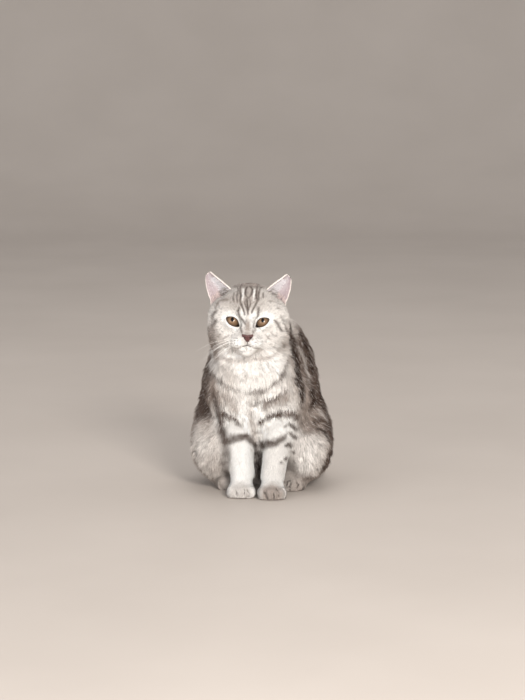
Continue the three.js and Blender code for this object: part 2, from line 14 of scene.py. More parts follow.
import bmesh
import bpy
import numpy as np
from mathutils import Euler, Matrix, Vector
from mathutils.bvhtree import BVHTree
from mathutils.kdtree import KDTree

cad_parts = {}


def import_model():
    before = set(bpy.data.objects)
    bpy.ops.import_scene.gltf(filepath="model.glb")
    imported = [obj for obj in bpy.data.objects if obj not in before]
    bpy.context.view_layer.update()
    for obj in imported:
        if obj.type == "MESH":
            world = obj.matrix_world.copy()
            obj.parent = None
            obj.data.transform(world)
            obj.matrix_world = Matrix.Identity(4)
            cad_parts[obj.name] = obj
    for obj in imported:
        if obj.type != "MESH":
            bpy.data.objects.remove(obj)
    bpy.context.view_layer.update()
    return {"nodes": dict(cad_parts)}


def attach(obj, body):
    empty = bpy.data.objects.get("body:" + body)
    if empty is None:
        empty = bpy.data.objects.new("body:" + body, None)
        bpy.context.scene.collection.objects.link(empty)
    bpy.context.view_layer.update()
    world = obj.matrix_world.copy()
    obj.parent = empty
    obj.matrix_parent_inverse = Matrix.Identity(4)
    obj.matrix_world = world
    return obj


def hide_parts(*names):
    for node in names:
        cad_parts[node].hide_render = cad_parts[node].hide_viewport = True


MM = 0.001
SEED = 20
COLOUR_LAYER = "Coat"
BAKE_LAYER = "OFBake"
LOG = logging.getLogger("cat")

Array = np.ndarray
Path = tuple[tuple[float, float, float], ...]


# -------- plain helpers


def unit(vectors: Array) -> Array:
    """Vectors of length one."""
    return vectors / np.maximum(np.linalg.norm(vectors, axis=-1, keepdims=True), 1e-9)


def ease(values: Array, low: float, high: float) -> Array:
    """A smooth step from 0 at low to 1 at high."""
    share = np.clip((values - low) / (high - low), 0.0, 1.0)
    return share * share * (3.0 - 2.0 * share)


def bell(values: Array, width: float) -> Array:
    """A soft bump, 1 at zero, that fades over that width."""
    return np.exp(-((values / width) ** 2))


def blend(first: Array, second: Array, share: Array) -> Array:
    """The first mixed with that share of the second."""
    return first * (1 - share) + second * share


def fitted(flat: Array) -> Array:
    """Flat places stretched over the whole bake map, a little inside its edge."""
    low, high = flat.min(0), flat.max(0)
    return 0.006 + 0.985 * (flat - low) / np.maximum(high - low, 1e-6)


def flattened(vectors: Array, normals: Array) -> Array:
    """Vectors laid into the surface that has those normals, at length one."""
    return unit(vectors - normals * np.sum(vectors * normals, axis=1, keepdims=True))


def between(a: Array, b: Array, c: Array, d: Array, t: Array) -> Array:
    """The Catmull-Rom curve from b to c, with a before them and d after, at shares t of the way."""
    return 0.5 * (2 * b + (c - a) * t + (2 * a - 5 * b + 4 * c - d) * t**2 + (3 * b - a - 3 * c + d) * t**3)


def smooth_path(points: Path, step: float) -> Array:
    """A Catmull-Rom curve through the points, sampled about every step.

    Args:
        points: the places that the curve passes.
        step: the distance between samples.

    Returns:
        The samples, one row each.
    """
    spots = np.array(points, float)
    if len(spots) < 2:
        return spots
    ends = np.vstack([2 * spots[0] - spots[1], spots, 2 * spots[-1] - spots[-2]])
    rows = []
    for i in range(len(spots) - 1):
        a, b, c, d = ends[i : i + 4]
        count = max(int(np.linalg.norm(c - b) / step), 1)
        t = (np.arange(count) / count)[:, None]
        rows.append(between(a, b, c, d, t))
    return np.vstack([*rows, spots[-1:]])


class Grain:
    """Smooth seeded noise in space, from -1 to 1."""

    def __init__(self, seed: int, cells: int = 32) -> None:
        """Fills the lattice."""
        self.cells = cells
        self.lattice = np.random.default_rng(seed).uniform(-1.0, 1.0, (cells, cells, cells))

    def at(self, points: Array, size: float) -> Array:
        """The noise at points, with bumps of about that size.

        Args:
            points: the points, in millimetres.
            size: the bumps' size.

        Returns:
            One value for each.
        """
        spots = points / size
        base = np.floor(spots).astype(int)
        share = spots - base
        share = share * share * (3 - 2 * share)
        total = np.zeros(len(points))
        for corner in range(8):
            step = np.array([corner & 1, corner >> 1 & 1, corner >> 2 & 1])
            weight = np.prod(np.where(step, share, 1 - share), axis=1)
            x, y, z = ((base + step) % self.cells).T
            total += weight * self.lattice[x, y, z]
        return total

    def vector_at(self, points: Array, size: float) -> Array:
        """Three unlike noises at points, as vectors."""
        return np.stack([self.at(points + shift, size) for shift in (0.0, 211.7, 503.1)], axis=1)


@dataclass(frozen=True)
class HeadFrame:
    """The head's own frame, from between its ears: X to its left, -Y out of the face, Z to the crown."""

    origin: tuple[float, float, float] = (-20.464, -83.457, 277.0)
    turn: tuple[float, float, float] = (-6.0, 1.4, -2.0)

    def axes(self) -> Array:
        """The rotation from the head's frame to the part's."""
        return np.array(Euler([math.radians(n) for n in self.turn], "XYZ").to_matrix())

    def place(self, points: Array) -> Array:
        """Places in the head's frame as places in the part's."""
        return np.asarray(points, float) @ self.axes().T + np.array(self.origin)

    def local(self, points: Array) -> Array:
        """Places in the part's frame as places in the head's."""
        return (points - np.array(self.origin)) @ self.axes()

    def turned(self, directions: Array) -> Array:
        """Directions in the head's frame as directions in the part's."""
        return np.asarray(directions, float) @ self.axes().T


HEAD = HeadFrame()


@dataclass
class Surface:
    """A triangle mesh in numpy, in millimetres."""

    points: Array
    triangles: Array

    def normals(self) -> Array:
        """The smooth normal at each point."""
        a, b, c = (self.points[self.triangles[:, n]] for n in range(3))
        faces = np.cross(b - a, c - a)
        total = np.zeros_like(self.points)
        for n in range(3):
            for axis in range(3):
                total[:, axis] += np.bincount(self.triangles[:, n], faces[:, axis], len(self.points))
        return unit(total)

    def areas(self) -> Array:
        """The area of each triangle."""
        a, b, c = (self.points[self.triangles[:, n]] for n in range(3))
        return np.linalg.norm(np.cross(b - a, c - a), axis=1) / 2

    def edges(self) -> Array:
        """Each edge once."""
        pairs = np.vstack([self.triangles[:, [0, 1]], self.triangles[:, [1, 2]], self.triangles[:, [2, 0]]])
        pairs.sort(axis=1)
        return np.unique(pairs, axis=0)

    def blurred(self, values: Array, rounds: int, strength: Array | float = 0.5, hold: float = 0.0) -> Array:
        """Values at the points, averaged with their neighbours'.

        Args:
            values: one number or one row for each point.
            rounds: how many times they are averaged.
            strength: the share taken from the neighbours, one for all or one for each point.
            hold: the share pushed back after each round, which keeps a shape from shrinking.

        Returns:
            The averaged values.
        """
        edges = self.edges()
        count = len(self.points)
        degree = np.maximum(np.bincount(edges.ravel(), minlength=count), 1)
        result = np.array(values, float)
        flat = result.ndim == 1
        result = result[:, None] if flat else result
        share = np.broadcast_to(np.asarray(strength, float), (count,))[:, None]
        for _ in range(rounds):
            for factor in (1.0, -hold) if hold else (1.0,):
                around = np.stack(
                    [
                        np.bincount(edges[:, 0], column[edges[:, 1]], count)
                        + np.bincount(edges[:, 1], column[edges[:, 0]], count)
                        for column in result.T
                    ],
                    axis=1,
                )
                result = result + factor * share * (around / degree[:, None] - result)
        return result[:, 0] if flat else result

    def hollows(self, rounds: int, strength: float = 0.5) -> Array:
        """How far each point lies below its smoothed place, along its normal."""
        return np.sum((self.blurred(self.points, rounds, strength) - self.points) * self.normals(), axis=1)

    def largest(self) -> "Surface":
        """The connected piece with the most points."""
        edges = self.edges()
        label = np.arange(len(self.points))
        while True:
            low = np.minimum(label[edges[:, 0]], label[edges[:, 1]])
            new = label.copy()
            np.minimum.at(new, edges[:, 0], low)
            np.minimum.at(new, edges[:, 1], low)
            new = new[new]
            if np.array_equal(new, label):
                break
            label = new
        keep = label == np.bincount(label).argmax()
        index = np.cumsum(keep) - 1
        return Surface(self.points[keep], index[self.triangles[keep[self.triangles[:, 0]]]])


def surface_of(obj: bpy.types.Object) -> Surface:
    """An object's evaluated mesh, in millimetres.

    Args:
        obj: the object.

    Returns:
        Its triangles.
    """
    evaluated = obj.evaluated_get(bpy.context.evaluated_depsgraph_get())
    mesh = evaluated.to_mesh()
    points = np.zeros(len(mesh.vertices) * 3, np.float32)
    mesh.vertices.foreach_get("co", points)
    mesh.calc_loop_triangles()
    triangles = np.zeros(len(mesh.loop_triangles) * 3, np.int32)
    mesh.loop_triangles.foreach_get("vertices", triangles)
    evaluated.to_mesh_clear()
    return Surface(points.reshape(-1, 3).astype(float) / MM, triangles.reshape(-1, 3))


def mesh_object(name: str, points: Array, triangles: Array, smooth: bool = True) -> bpy.types.Object:
    """A new object in the scene from points in millimetres and triangles.

    Args:
        name: its name.
        points: its points.
        triangles: its triangles.
        smooth: whether it is shaded smooth.

    Returns:
        The object.
    """
    mesh = bpy.data.meshes.new(name)
    mesh.vertices.add(len(points))
    mesh.vertices.foreach_set("co", (np.asarray(points) * MM).astype(np.float32).ravel())
    mesh.loops.add(triangles.size)
    mesh.loops.foreach_set("vertex_index", triangles.astype(np.int32).ravel())
    mesh.polygons.add(len(triangles))
    mesh.polygons.foreach_set("loop_start", np.arange(0, triangles.size, 3, dtype=np.int32))
    mesh.update(calc_edges=True)
    mesh.polygons.foreach_set("use_smooth", np.full(len(triangles), smooth))
    obj = bpy.data.objects.new(name, mesh)
    bpy.context.scene.collection.objects.link(obj)
    return obj


def paint(obj: bpy.types.Object, colours: Array) -> None:
    """Stores a linear colour for each point of an object's mesh.

    Args:
        obj: the object.
        colours: the colours.
    """
    layer = obj.data.color_attributes.new(COLOUR_LAYER, "FLOAT_COLOR", "POINT")
    rgba = np.ones((len(colours), 4), np.float32)
    rgba[:, :3] = colours
    layer.data.foreach_set("color", rgba.ravel())


def set_normals(obj: bpy.types.Object, normals: Array) -> None:
    """Gives each point of an object's mesh its own shading normal.

    Args:
        obj: the object.
        normals: the normals.
    """
    layer = obj.data.attributes.new("custom_normal", "FLOAT_VECTOR", "POINT")
    layer.data.foreach_set("vector", normals.astype(np.float32).ravel())
    obj.data.update()


def set_bake_map(obj: bpy.types.Object, places: Array) -> None:
    """Gives an object the map that its colours are baked on, from one place for each point.

    Args:
        obj: the object.
        places: the places, from 0 to 1.
    """
    layer = obj.data.uv_layers.new(name=BAKE_LAYER)
    index = np.zeros(len(obj.data.loops), np.int32)
    obj.data.loops.foreach_get("vertex_index", index)
    layer.data.foreach_set("uv", np.clip(places, 0.001, 0.999)[index].astype(np.float32).ravel())


def grid_faces(rows: int, columns: int, closed: bool = False) -> Array:
    """The triangles of a grid of points, row by row, joined end to end where it is closed.

    Args:
        rows: how many rows the grid has.
        columns: how many points are in a row.
        closed: whether the ends of each row meet.

    Returns:
        The triangles.
    """
    across = columns if closed else columns - 1
    row, column = np.meshgrid(np.arange(rows - 1), np.arange(across), indexing="ij")
    a = (row * columns + column).ravel()
    b = (row * columns + (column + 1) % columns).ravel()
    return np.vstack([np.stack([a, b, a + columns], 1), np.stack([b, b + columns, a + columns], 1)])


def sheet_faces(rows: int, columns: int) -> Array:
    """The triangles of a closed sheet: a front grid of points, a back grid after it, and the wall between.

    Args:
        rows: how many rows each grid has.
        columns: how many points are in a row.

    Returns:
        The triangles.
    """
    count = rows * columns
    faces = grid_faces(rows, columns)
    index = np.arange(count).reshape(rows, columns)
    loop = np.concatenate([index[0, :-1], index[:-1, -1], index[-1, :0:-1], index[:0:-1, 0]])
    after = np.roll(loop, -1)
    wall = [np.stack([loop, after + count, after], 1), np.stack([loop, loop + count, after + count], 1)]
    return np.vstack([faces, faces[:, ::-1] + count, *wall])


def tube(path: Array, radii: Array, sides: int = 6) -> tuple[Array, Array]:
    """A round tube along a path, closed at both ends.

    Args:
        path: the centreline's points.
        radii: the radius at each of them.
        sides: how many faces go round it.

    Returns:
        Its points and its triangles.
    """
    along = unit(np.gradient(path, axis=0))
    side = unit(np.cross(along, np.array([0.31, 0.22, 0.92])))
    up = np.cross(along, side)
    angle = np.arange(sides) * 2 * math.pi / sides
    ring = np.cos(angle)[None, :, None] * side[:, None] + np.sin(angle)[None, :, None] * up[:, None]
    points = (path[:, None] + ring * np.asarray(radii)[:, None, None]).reshape(-1, 3)
    points = np.vstack([points, path[:1], path[-1:]])
    faces = grid_faces(len(path), sides, closed=True)
    first, last, turn = len(points) - 2, len(points) - 1, np.arange(sides)
    start = (len(path) - 1) * sides
    caps = [np.stack([np.full(sides, first), (turn + 1) % sides, turn], 1)]
    caps.append(np.stack([np.full(sides, last), start + turn, start + (turn + 1) % sides], 1))
    return points, np.vstack([faces, *caps])


def dressed(obj: bpy.types.Object, material: bpy.types.Material, slot: str, *nodes: str) -> bpy.types.Object:
    """A piece with its material, carried by the root, in the place of any nodes that are given.

    Args:
        obj: the piece.
        material: its material.
        slot: not used.
        nodes: the nodes that it replaces.

    Returns:
        The piece.
    """
    obj.data.materials.append(material)
    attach(obj, "root")
    if nodes:
        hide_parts(*nodes)
    return obj


def sided(part: str, side: int) -> str:
    """The name of a part on one side of the cat: its left is 1 and its right is -1."""
    return part + ("_left" if side > 0 else "_right")


def gathered(parts: list[tuple[Array, Array]]) -> tuple[Array, Array]:
    """Several sets of points and triangles as one."""
    shift = np.cumsum([0] + [len(points) for points, _ in parts])
    return (
        np.vstack([points for points, _ in parts]),
        np.vstack([faces + start for (_, faces), start in zip(parts, shift)]),
    )


# -------- finishes


class Tone(Enum):
    """The coat's colours, as display values from 0 to 1."""

    WHITE = (0.970, 0.955, 0.935)
    PEARL = (0.925, 0.900, 0.875)
    SILVER = (0.8, 0.77, 0.742)
    ASH = (0.6, 0.548, 0.512)
    SMOKE = (0.45, 0.39, 0.352)
    DARK = (0.3, 0.24, 0.208)
    DEEP = (0.2, 0.148, 0.122)
    ROSE = (0.820, 0.700, 0.680)

    def linear(self) -> Array:
        """The colour as linear light."""
        return linear(self.value)


def linear(shown: tuple[float, float, float]) -> Array:
    """A display colour as linear light."""
    values = np.array(shown, float)
    return np.where(values <= 0.04045, values / 12.92, ((values + 0.055) / 1.055) ** 2.4)


def filled(colour: Array, count: int) -> Array:
    """One colour for each of many points."""
    return np.repeat(colour[None], count, axis=0)


def veil(share: float) -> Array:
    """A grey that dims what it is multiplied with."""
    return np.full(3, share)


Given = bpy.types.NodeSocket | float | Array


class Nodes:
    """A short way to write a material's node tree."""

    def __init__(self, name: str) -> None:
        """Makes the material with its Principled shader."""
        self.material = bpy.data.materials.new(name)
        self.material.use_nodes = True
        self.tree = self.material.node_tree
        self.shader = next(n for n in self.tree.nodes if n.type == "BSDF_PRINCIPLED")

    def add(
        self, kind: str, values: dict | None = None, links: dict | None = None, **settings: str
    ) -> bpy.types.Node:
        """Adds a node.

        Args:
            kind: the node's type, without its ShaderNode prefix.
            values: numbers or colours for its inputs, by name or place.
            links: the outputs that feed its inputs, by name or place.
            settings: its own properties.

        Returns:
            The node.
        """
        node = self.tree.nodes.new("ShaderNode" + kind)
        for key, value in settings.items():
            setattr(node, key, value)
        for key, value in (values or {}).items():
            node.inputs[key].default_value = value
        for key, output in (links or {}).items():
            self.tree.links.new(output, node.inputs[key])
        return node

    def ramp(self, factor: bpy.types.NodeSocket, stops: list[tuple[float, Array]]) -> bpy.types.NodeSocket:
        """A colour ramp over a factor, from stops of place and linear colour.

        Args:
            factor: what it is read by.
            stops: its places and colours.

        Returns:
            The colour.
        """
        node = self.add("ValToRGB", links={0: factor})
        elements = node.color_ramp.elements
        while len(elements) < len(stops):
            elements.new(0.5)
        for element, (place, colour) in zip(elements, stops):
            element.position = place
            element.color = (*colour, 1.0)
        return node.outputs["Color"]

    def set(self, **values: object) -> None:
        """Sets the shader's own sockets to constants; _ stands for a space in a name."""
        for key, value in values.items():
            self.shader.inputs[key.replace("_", " ")].default_value = value

    def link(self, output: bpy.types.NodeSocket, socket: str) -> None:
        """Feeds one of the shader's sockets."""
        self.tree.links.new(output, self.shader.inputs[socket])

    def place(self) -> bpy.types.NodeSocket:
        """The place on the object, in its own metres."""
        return self.add("TexCoord").outputs["Object"]

    def mixed(self, kind: str, factor: Given, first: Given, second: Given) -> bpy.types.NodeSocket:
        """Two colours mixed.

        Args:
            kind: how they are mixed.
            factor: the second's share, as an output or a number.
            first: an output or a colour.
            second: an output or a colour.

        Returns:
            The mixed colour.
        """
        node = self.add("Mix", data_type="RGBA", blend_type=kind)
        for index, given in ((0, factor), (6, first), (7, second)):
            if isinstance(given, bpy.types.NodeSocket):
                self.tree.links.new(given, node.inputs[index])
            else:
                node.inputs[index].default_value = given if index == 0 else (*given, 1.0)
        return node.outputs[2]

    def bump(self, height: bpy.types.NodeSocket, strength: float, distance: float) -> None:
        """Raises the surface by a height."""
        node = self.add("Bump", {"Strength": strength, "Distance": distance}, {"Height": height})
        self.link(node.outputs["Normal"], "Normal")


@dataclass(frozen=True)
class FurFinish:
    """Fur: the markings' own colour, broken by fine flecks, with a soft low gloss."""

    name: str
    roughness: float = 0.62
    gloss: float = 0.08
    fleck_size: float = 0.0016
    fleck_depth: float = 0.16
    bump: float = 0.0

    def material(self) -> bpy.types.Material:
        """The finished material."""
        nodes = Nodes(self.name)
        marked = nodes.add("VertexColor", layer_name=COLOUR_LAYER).outputs["Color"]
        place = nodes.place()
        fine = {"Scale": 1 / self.fleck_size, "Detail": 3.0, "Roughness": 0.65}
        fleck = nodes.add("TexNoise", fine, {"Vector": place}).outputs["Fac"]
        flecks = nodes.ramp(fleck, [(0.3, veil(1 - self.fleck_depth)), (0.7, veil(1.0))])
        nodes.link(nodes.mixed("MULTIPLY", 1.0, marked, flecks), "Base Color")
        nodes.set(Roughness=self.roughness, Specular_IOR_Level=self.gloss)
        if self.bump:
            hairs = nodes.add("Mapping", {"Scale": (1400.0, 1400.0, 260.0)}, {"Vector": place})
            strands = nodes.add("TexNoise", {"Scale": 1.0, "Detail": 4.0}, {"Vector": hairs.outputs[0]})
            nodes.bump(strands.outputs["Fac"], self.bump, 0.0012)
        return nodes.material


@dataclass(frozen=True)
class EyeFinish:
    """A wet eye: a copper iris of fine radial fibres with painted lid shade at its top, a dark rim, and an
    upright round pupil.
    """

    name: str = "eye_copper"
    iris_radius: float = 11.4
    pupil_half: tuple[float, float] = (2.3, 3.3)
    rim: tuple[float, float, float] = (0.15, 0.11, 0.08)
    outer: tuple[float, float, float] = (0.39, 0.305, 0.225)
    middle: tuple[float, float, float] = (0.51, 0.40, 0.30)
    inner: tuple[float, float, float] = (0.40, 0.27, 0.17)
    # how dark the painted shadow of the upper lid makes the top of the iris
    shaded: float = 0.60

    def material(self) -> bpy.types.Material:
        """The finished material, which reads the eye's own place: the pupil is on its -Y axis."""
        nodes = Nodes(self.name)
        parts = nodes.add("SeparateXYZ", links={0: nodes.place()})
        x, y, z = (parts.outputs[n] for n in range(3))
        flat = nodes.add("CombineXYZ", links={0: x, 1: z})
        reach = nodes.add("VectorMath", links={0: flat.outputs[0]}, operation="LENGTH").outputs["Value"]
        spread = nodes.add("Math", {1: self.iris_radius * MM}, {0: reach}, operation="DIVIDE").outputs[0]
        turn = nodes.add("Math", links={0: x, 1: z}, operation="ARCTAN2").outputs[0]
        around = nodes.add("CombineXYZ", links={0: turn, 1: spread})
        wide = nodes.add("Mapping", {"Scale": (9.0, 0.9, 1.0)}, {"Vector": around.outputs[0]})
        fine = {"Scale": 1.6, "Detail": 5.0, "Roughness": 0.7}
        fibres = nodes.add("TexNoise", fine, {"Vector": wide.outputs[0]}).outputs["Fac"]
        shifted = nodes.add("Math", {1: 0.16}, {0: fibres}, operation="MULTIPLY").outputs[0]
        place = nodes.add("Math", links={0: spread, 1: shifted}, operation="ADD").outputs[0]
        stops = [
            (0.22, linear(self.inner)),
            (0.44, linear(self.middle)),
            (0.84, linear(self.outer)),
            (1.00, linear(self.rim)),
        ]
        iris = nodes.ramp(place, stops)
        light = nodes.ramp(fibres, [(0.30, veil(0.62)), (0.68, veil(1.0))])
        streaked = nodes.mixed("MULTIPLY", 0.8, iris, light)
        # painted shade: the top of the iris is darkened to the shaded share, as the upper lid's shadow
        level = nodes.add("MapRange", {1: -0.001, 2: 0.0065, 3: 0.0, 4: 1.0}, {0: z}).outputs[0]
        lid_shadow = nodes.ramp(level, [(0.0, veil(1.0)), (1.0, veil(self.shaded))])
        streaked = nodes.mixed("MULTIPLY", 1.0, streaked, lid_shadow)
        half_wide, half_tall = (n * MM for n in self.pupil_half)
        shrunk = {"Scale": (1 / half_wide, 1 / half_tall, 1.0)}
        oval = nodes.add("Mapping", shrunk, {"Vector": flat.outputs[0]})
        inside = nodes.add("VectorMath", links={0: oval.outputs[0]}, operation="LENGTH").outputs["Value"]
        pupil = nodes.add("MapRange", {1: 0.93, 2: 1.07, 3: 1.0, 4: 0.0}, {0: inside}).outputs[0]
        dark = linear((0.03, 0.02, 0.018))
        front = nodes.add("MapRange", {1: -0.004, 2: -0.0005, 3: 0.0, 4: 1.0}, {0: y}).outputs[0]
        seen = nodes.mixed("MIX", pupil, streaked, dark)
        nodes.link(nodes.mixed("MIX", front, seen, linear(self.rim)), "Base Color")
        nodes.set(Roughness=0.12, Specular_IOR_Level=0.12, Coat_Weight=0.35, Coat_Roughness=0.02)
        return nodes.material


@dataclass(frozen=True)
class LeatherFinish:
    """Bare pebbled skin: nose leather, lid rims and lips."""

    name: str
    colour: tuple[float, float, float]
    shade: tuple[float, float, float]
    grain: float = 0.0011
    depth: float = 0.35
    roughness: float = 0.42
    painted: bool = False

    def material(self) -> bpy.types.Material:
        """The finished material."""
        nodes = Nodes(self.name)
        place = nodes.place()
        pebbles = nodes.add("TexVoronoi", {"Scale": 1 / self.grain, "Randomness": 0.9}, {"Vector": place})
        cloud = nodes.add("TexNoise", {"Scale": 260.0, "Detail": 4.0}, {"Vector": place})
        tint = nodes.ramp(cloud.outputs["Fac"], [(0.35, linear(self.shade)), (0.65, linear(self.colour))])
        if self.painted:
            marked = nodes.add("VertexColor", layer_name=COLOUR_LAYER).outputs["Color"]
            clouds = nodes.ramp(cloud.outputs["Fac"], [(0.35, veil(0.88)), (0.65, veil(1.0))])
            tint = nodes.mixed("MULTIPLY", 1.0, marked, clouds)
        nodes.link(tint, "Base Color")
        nodes.set(Roughness=self.roughness, Specular_IOR_Level=0.45)
        nodes.bump(pebbles.outputs["Distance"], self.depth, 0.0003)
        return nodes.material


# -------- markings


MOUTH: tuple[Path, ...] = (
    ((1.2, -53.5, -32.0), (1.1, -53.0, -38.0)),
    ((1.1, -52.5, -38.0), (-4, -51.5, -39.6), (-10, -48, -41.4), (-16, -42, -42.6), (-22, -34, -44.0)),
    ((1.1, -52.5, -38.0), (6, -51.5, -39.6), (12, -48, -41.4), (18, -42, -42.8), (24, -34, -44.4)),
)


@dataclass(frozen=True)
class Mark:
    """One marking: a soft-edged stroke of one tone laid along a path on the coat."""

    tone: Tone
    reach: float
    strength: float
    path: Path
    edge: float = 0.6
    on_head: bool = False
    taper: bool = True


def marks(tone: Tone, reach: float, strength: float, *paths: Path, **rest: float | bool) -> list[Mark]:
    """Several strokes alike."""
    return [Mark(tone, reach, strength, path, **rest) for path in paths]


white, pearl, silver = (partial(marks, tone) for tone in (Tone.WHITE, Tone.PEARL, Tone.SILVER))
ash, smoke, dark, deep = (partial(marks, tone) for tone in (Tone.ASH, Tone.SMOKE, Tone.DARK, Tone.DEEP))


def mirrored(path: Path, middle: float = 0.0) -> Path:
    """A path on the other side of an upright plane."""
    return tuple((2 * middle - x, y, z) for x, y, z in path)


def ground_marks() -> list[Mark]:
    """The broad pale and dark areas, from the first laid to the last."""
    broad = {"edge": 0.45, "taper": False}
    found = [
        *silver(82.0, 1.0, ((0, 0, 0),), on_head=True, **broad),
        # flanks
        *dark(36.0, 0.85, ((-86, -50, 186), (-92, -20, 138)), **broad),
        *dark(30.0, 0.88, ((72, -60, 238), (76, -52, 200), (84, -40, 155)), **broad),
        *dark(38.0, 0.92, ((78, -10, 215), (90, 8, 170), (98, 20, 120)), **broad),
        *dark(34.0, 0.5, ((-40, 10, 225), (0, 20, 235), (40, 10, 230)), **broad),
        # throat, bib and chest
        *white(56.0, 1.0, ((-22, -70, 235), (-20, -100, 196)), **broad),
        *pearl(50.0, 0.9, ((-16, -96, 162), (-14, -90, 140)), **broad),
        *white(30.0, 0.8, ((-14, -90, 150), (-12, -80, 110)), **broad),
        *ash(13.5, 0.93, ((-80, -76, 184), (-74, -84, 160), (-68, -80, 138), (-63, -68, 108),
            (-60, -64, 86)), **broad),
        *smoke(12.5, 0.85, ((12, -94, 142), (30, -92, 147), (48, -88, 150)), **broad),
        *silver(10.0, 0.8, ((43, -86, 222), (46, -88, 198), (49, -92, 176), (50, -93, 150)),
            ((14, -84, 106), (32, -82, 104)), **broad),
        *ash(7.0, 0.6, ((50, -84, 214), (53, -86, 190), (54, -90, 168)), **broad),
        # painted shade: both strokes grey the right side of the bib, away from the key light
        *silver(11.0, 0.8, ((-62, -98, 200), (-56, -98, 184)), ((-52, -100, 208),
            (-48, -101, 186)), **broad),
        *silver(12.0, 0.5, ((-32, -97, 160), (-4, -97, 160)), **broad),
        *silver(9.0, 0.45, ((-50, -90, 124), (-46, -84, 112)), ((42, -88, 118), (36, -86, 108)),
            **broad),
        # forelegs
        *white(33.0, 1.0, ((34, -74, 116), (28, -60, 90), (18, -85, 35), (16, -105, 8)),
            **broad),
        *white(33.0, 1.0, ((-48, -74, 116), (-36, -60, 90), (-31, -75, 35), (-33, -98, 8)),
            **broad),
        *silver(20.0, 0.4, ((30, -82, 76), (20, -94, 44)), **broad),
        # thighs and hind feet
        *silver(28.0, 0.95, ((74, -52, 74), (70, -50, 46)), edge=0.6, taper=False),
        *smoke(16.0, 0.8, ((58, -70, 128), (68, -62, 112), (84, -52, 108)), **broad),
        *silver(33.0, 0.95, ((-88, -42, 72), (-82, -46, 40)), edge=0.6, taper=False),
        *ash(14.0, 0.5, ((-76, -60, 50), (-72, -58, 34)), edge=0.8, taper=False),
        *white(16.0, 0.3, ((72, -60, 66), (68, -58, 46)), edge=0.8, taper=False),
        *white(13.0, 0.15, ((-88, -58, 74), (-80, -60, 52)), edge=0.8, taper=False),
        *dark(17.0, 0.97, ((105, -30, 98), (109, -20, 72), (103, -36, 44)), **broad),
        *deep(12.0, 0.8, ((112, -16, 98), (114, -8, 72), (110, -20, 46)), **broad),
        *deep(11.0, 0.7, ((96, -2, 196), (102, 6, 166), (106, 4, 136)), **broad),
        # painted shade: the hind feet, under the thighs, are painted ash
        *ash(24.0, 0.7, ((50, -30, 8),), ((-52, -22, 8),), **broad),
        *pearl(60.0, 0.5, ((0, -10, 0), (0, 40, 0)), **broad),
        *ash(20.0, 0.55, ((-33, -102, 8),), **broad),
        *ash(21.0, 0.95, ((16, -112, 8),), **broad),
    ]
    face = {"edge": 0.6, "taper": False, "on_head": True}
    for side in (-1, 1):
        found += [
            *pearl(26.0, 0.85, ((side * 30, -28, -18), (side * 40, -18, -2)), **face),
            *white(12.5, 0.95, ((side * 13, -46, -35),), **face),
            # ash on the forehead's sides, stronger on the right side as painted shade away from the key light
            *ash(15.0, 0.28 - 0.1 * side, ((side * 24, -30, 27), (side * 40, -16, 26)), **face),
            *white(4.6, 0.8, eye_ring(side), **face),
            *white(7.0, 0.8, ((side * 7, -45, -2), (side * 9, -43, 8)), **face),
        ]
    found += [
        *pearl(22.0, 0.8, ((-26, -32, -60), (0, -36, -60), (26, -32, -60)), **face),
        *white(13.0, 0.4, ((0, -44, -52), (0, -30, -60)), **face),
        *ash(15.0, 0.6, ((0, -36, 36), (0, -20, 46), (0, 0, 50)), **face),
        *smoke(20.0, 0.6, ((-10, 8, 50), (8, 8, 50)), **face),
        *ash(4.5, 0.75, ((1.2, -54, -20), (0.8, -50, -13), (0.4, -47, -4)), **face),
        *smoke(13.0, 0.75, ((-56, -18, -22), (-55, -6, -42), (-52, 8, -56)), **face),
        *ash(7.0, 0.5, ((-44, -26, -28), (-35, -26, -41)), **face),
        *ash(12.0, 0.45, ((60, -6, -10), (58, 0, -34)), **face),
    ]
    return found


def eye_ring(side: int) -> Path:
    """A loop round one eye's opening, a little outside it, in the head's frame.

    Args:
        side: 1 for the left eye, -1 for the right.

    Returns:
        The loop's places.
    """
    angles = np.linspace(0, 2 * math.pi, 15)
    lean = math.radians(28)
    loop = []
    for angle in angles:
        across, up = 15.0 * math.cos(angle), 11.0 * math.sin(angle)
        x = across * math.cos(lean) - up * math.sin(lean)
        z = across * math.sin(lean) + up * math.cos(lean)
        loop.append((side * (23.0 + x), -38.0, -3.0 + z))
    return tuple(loop)


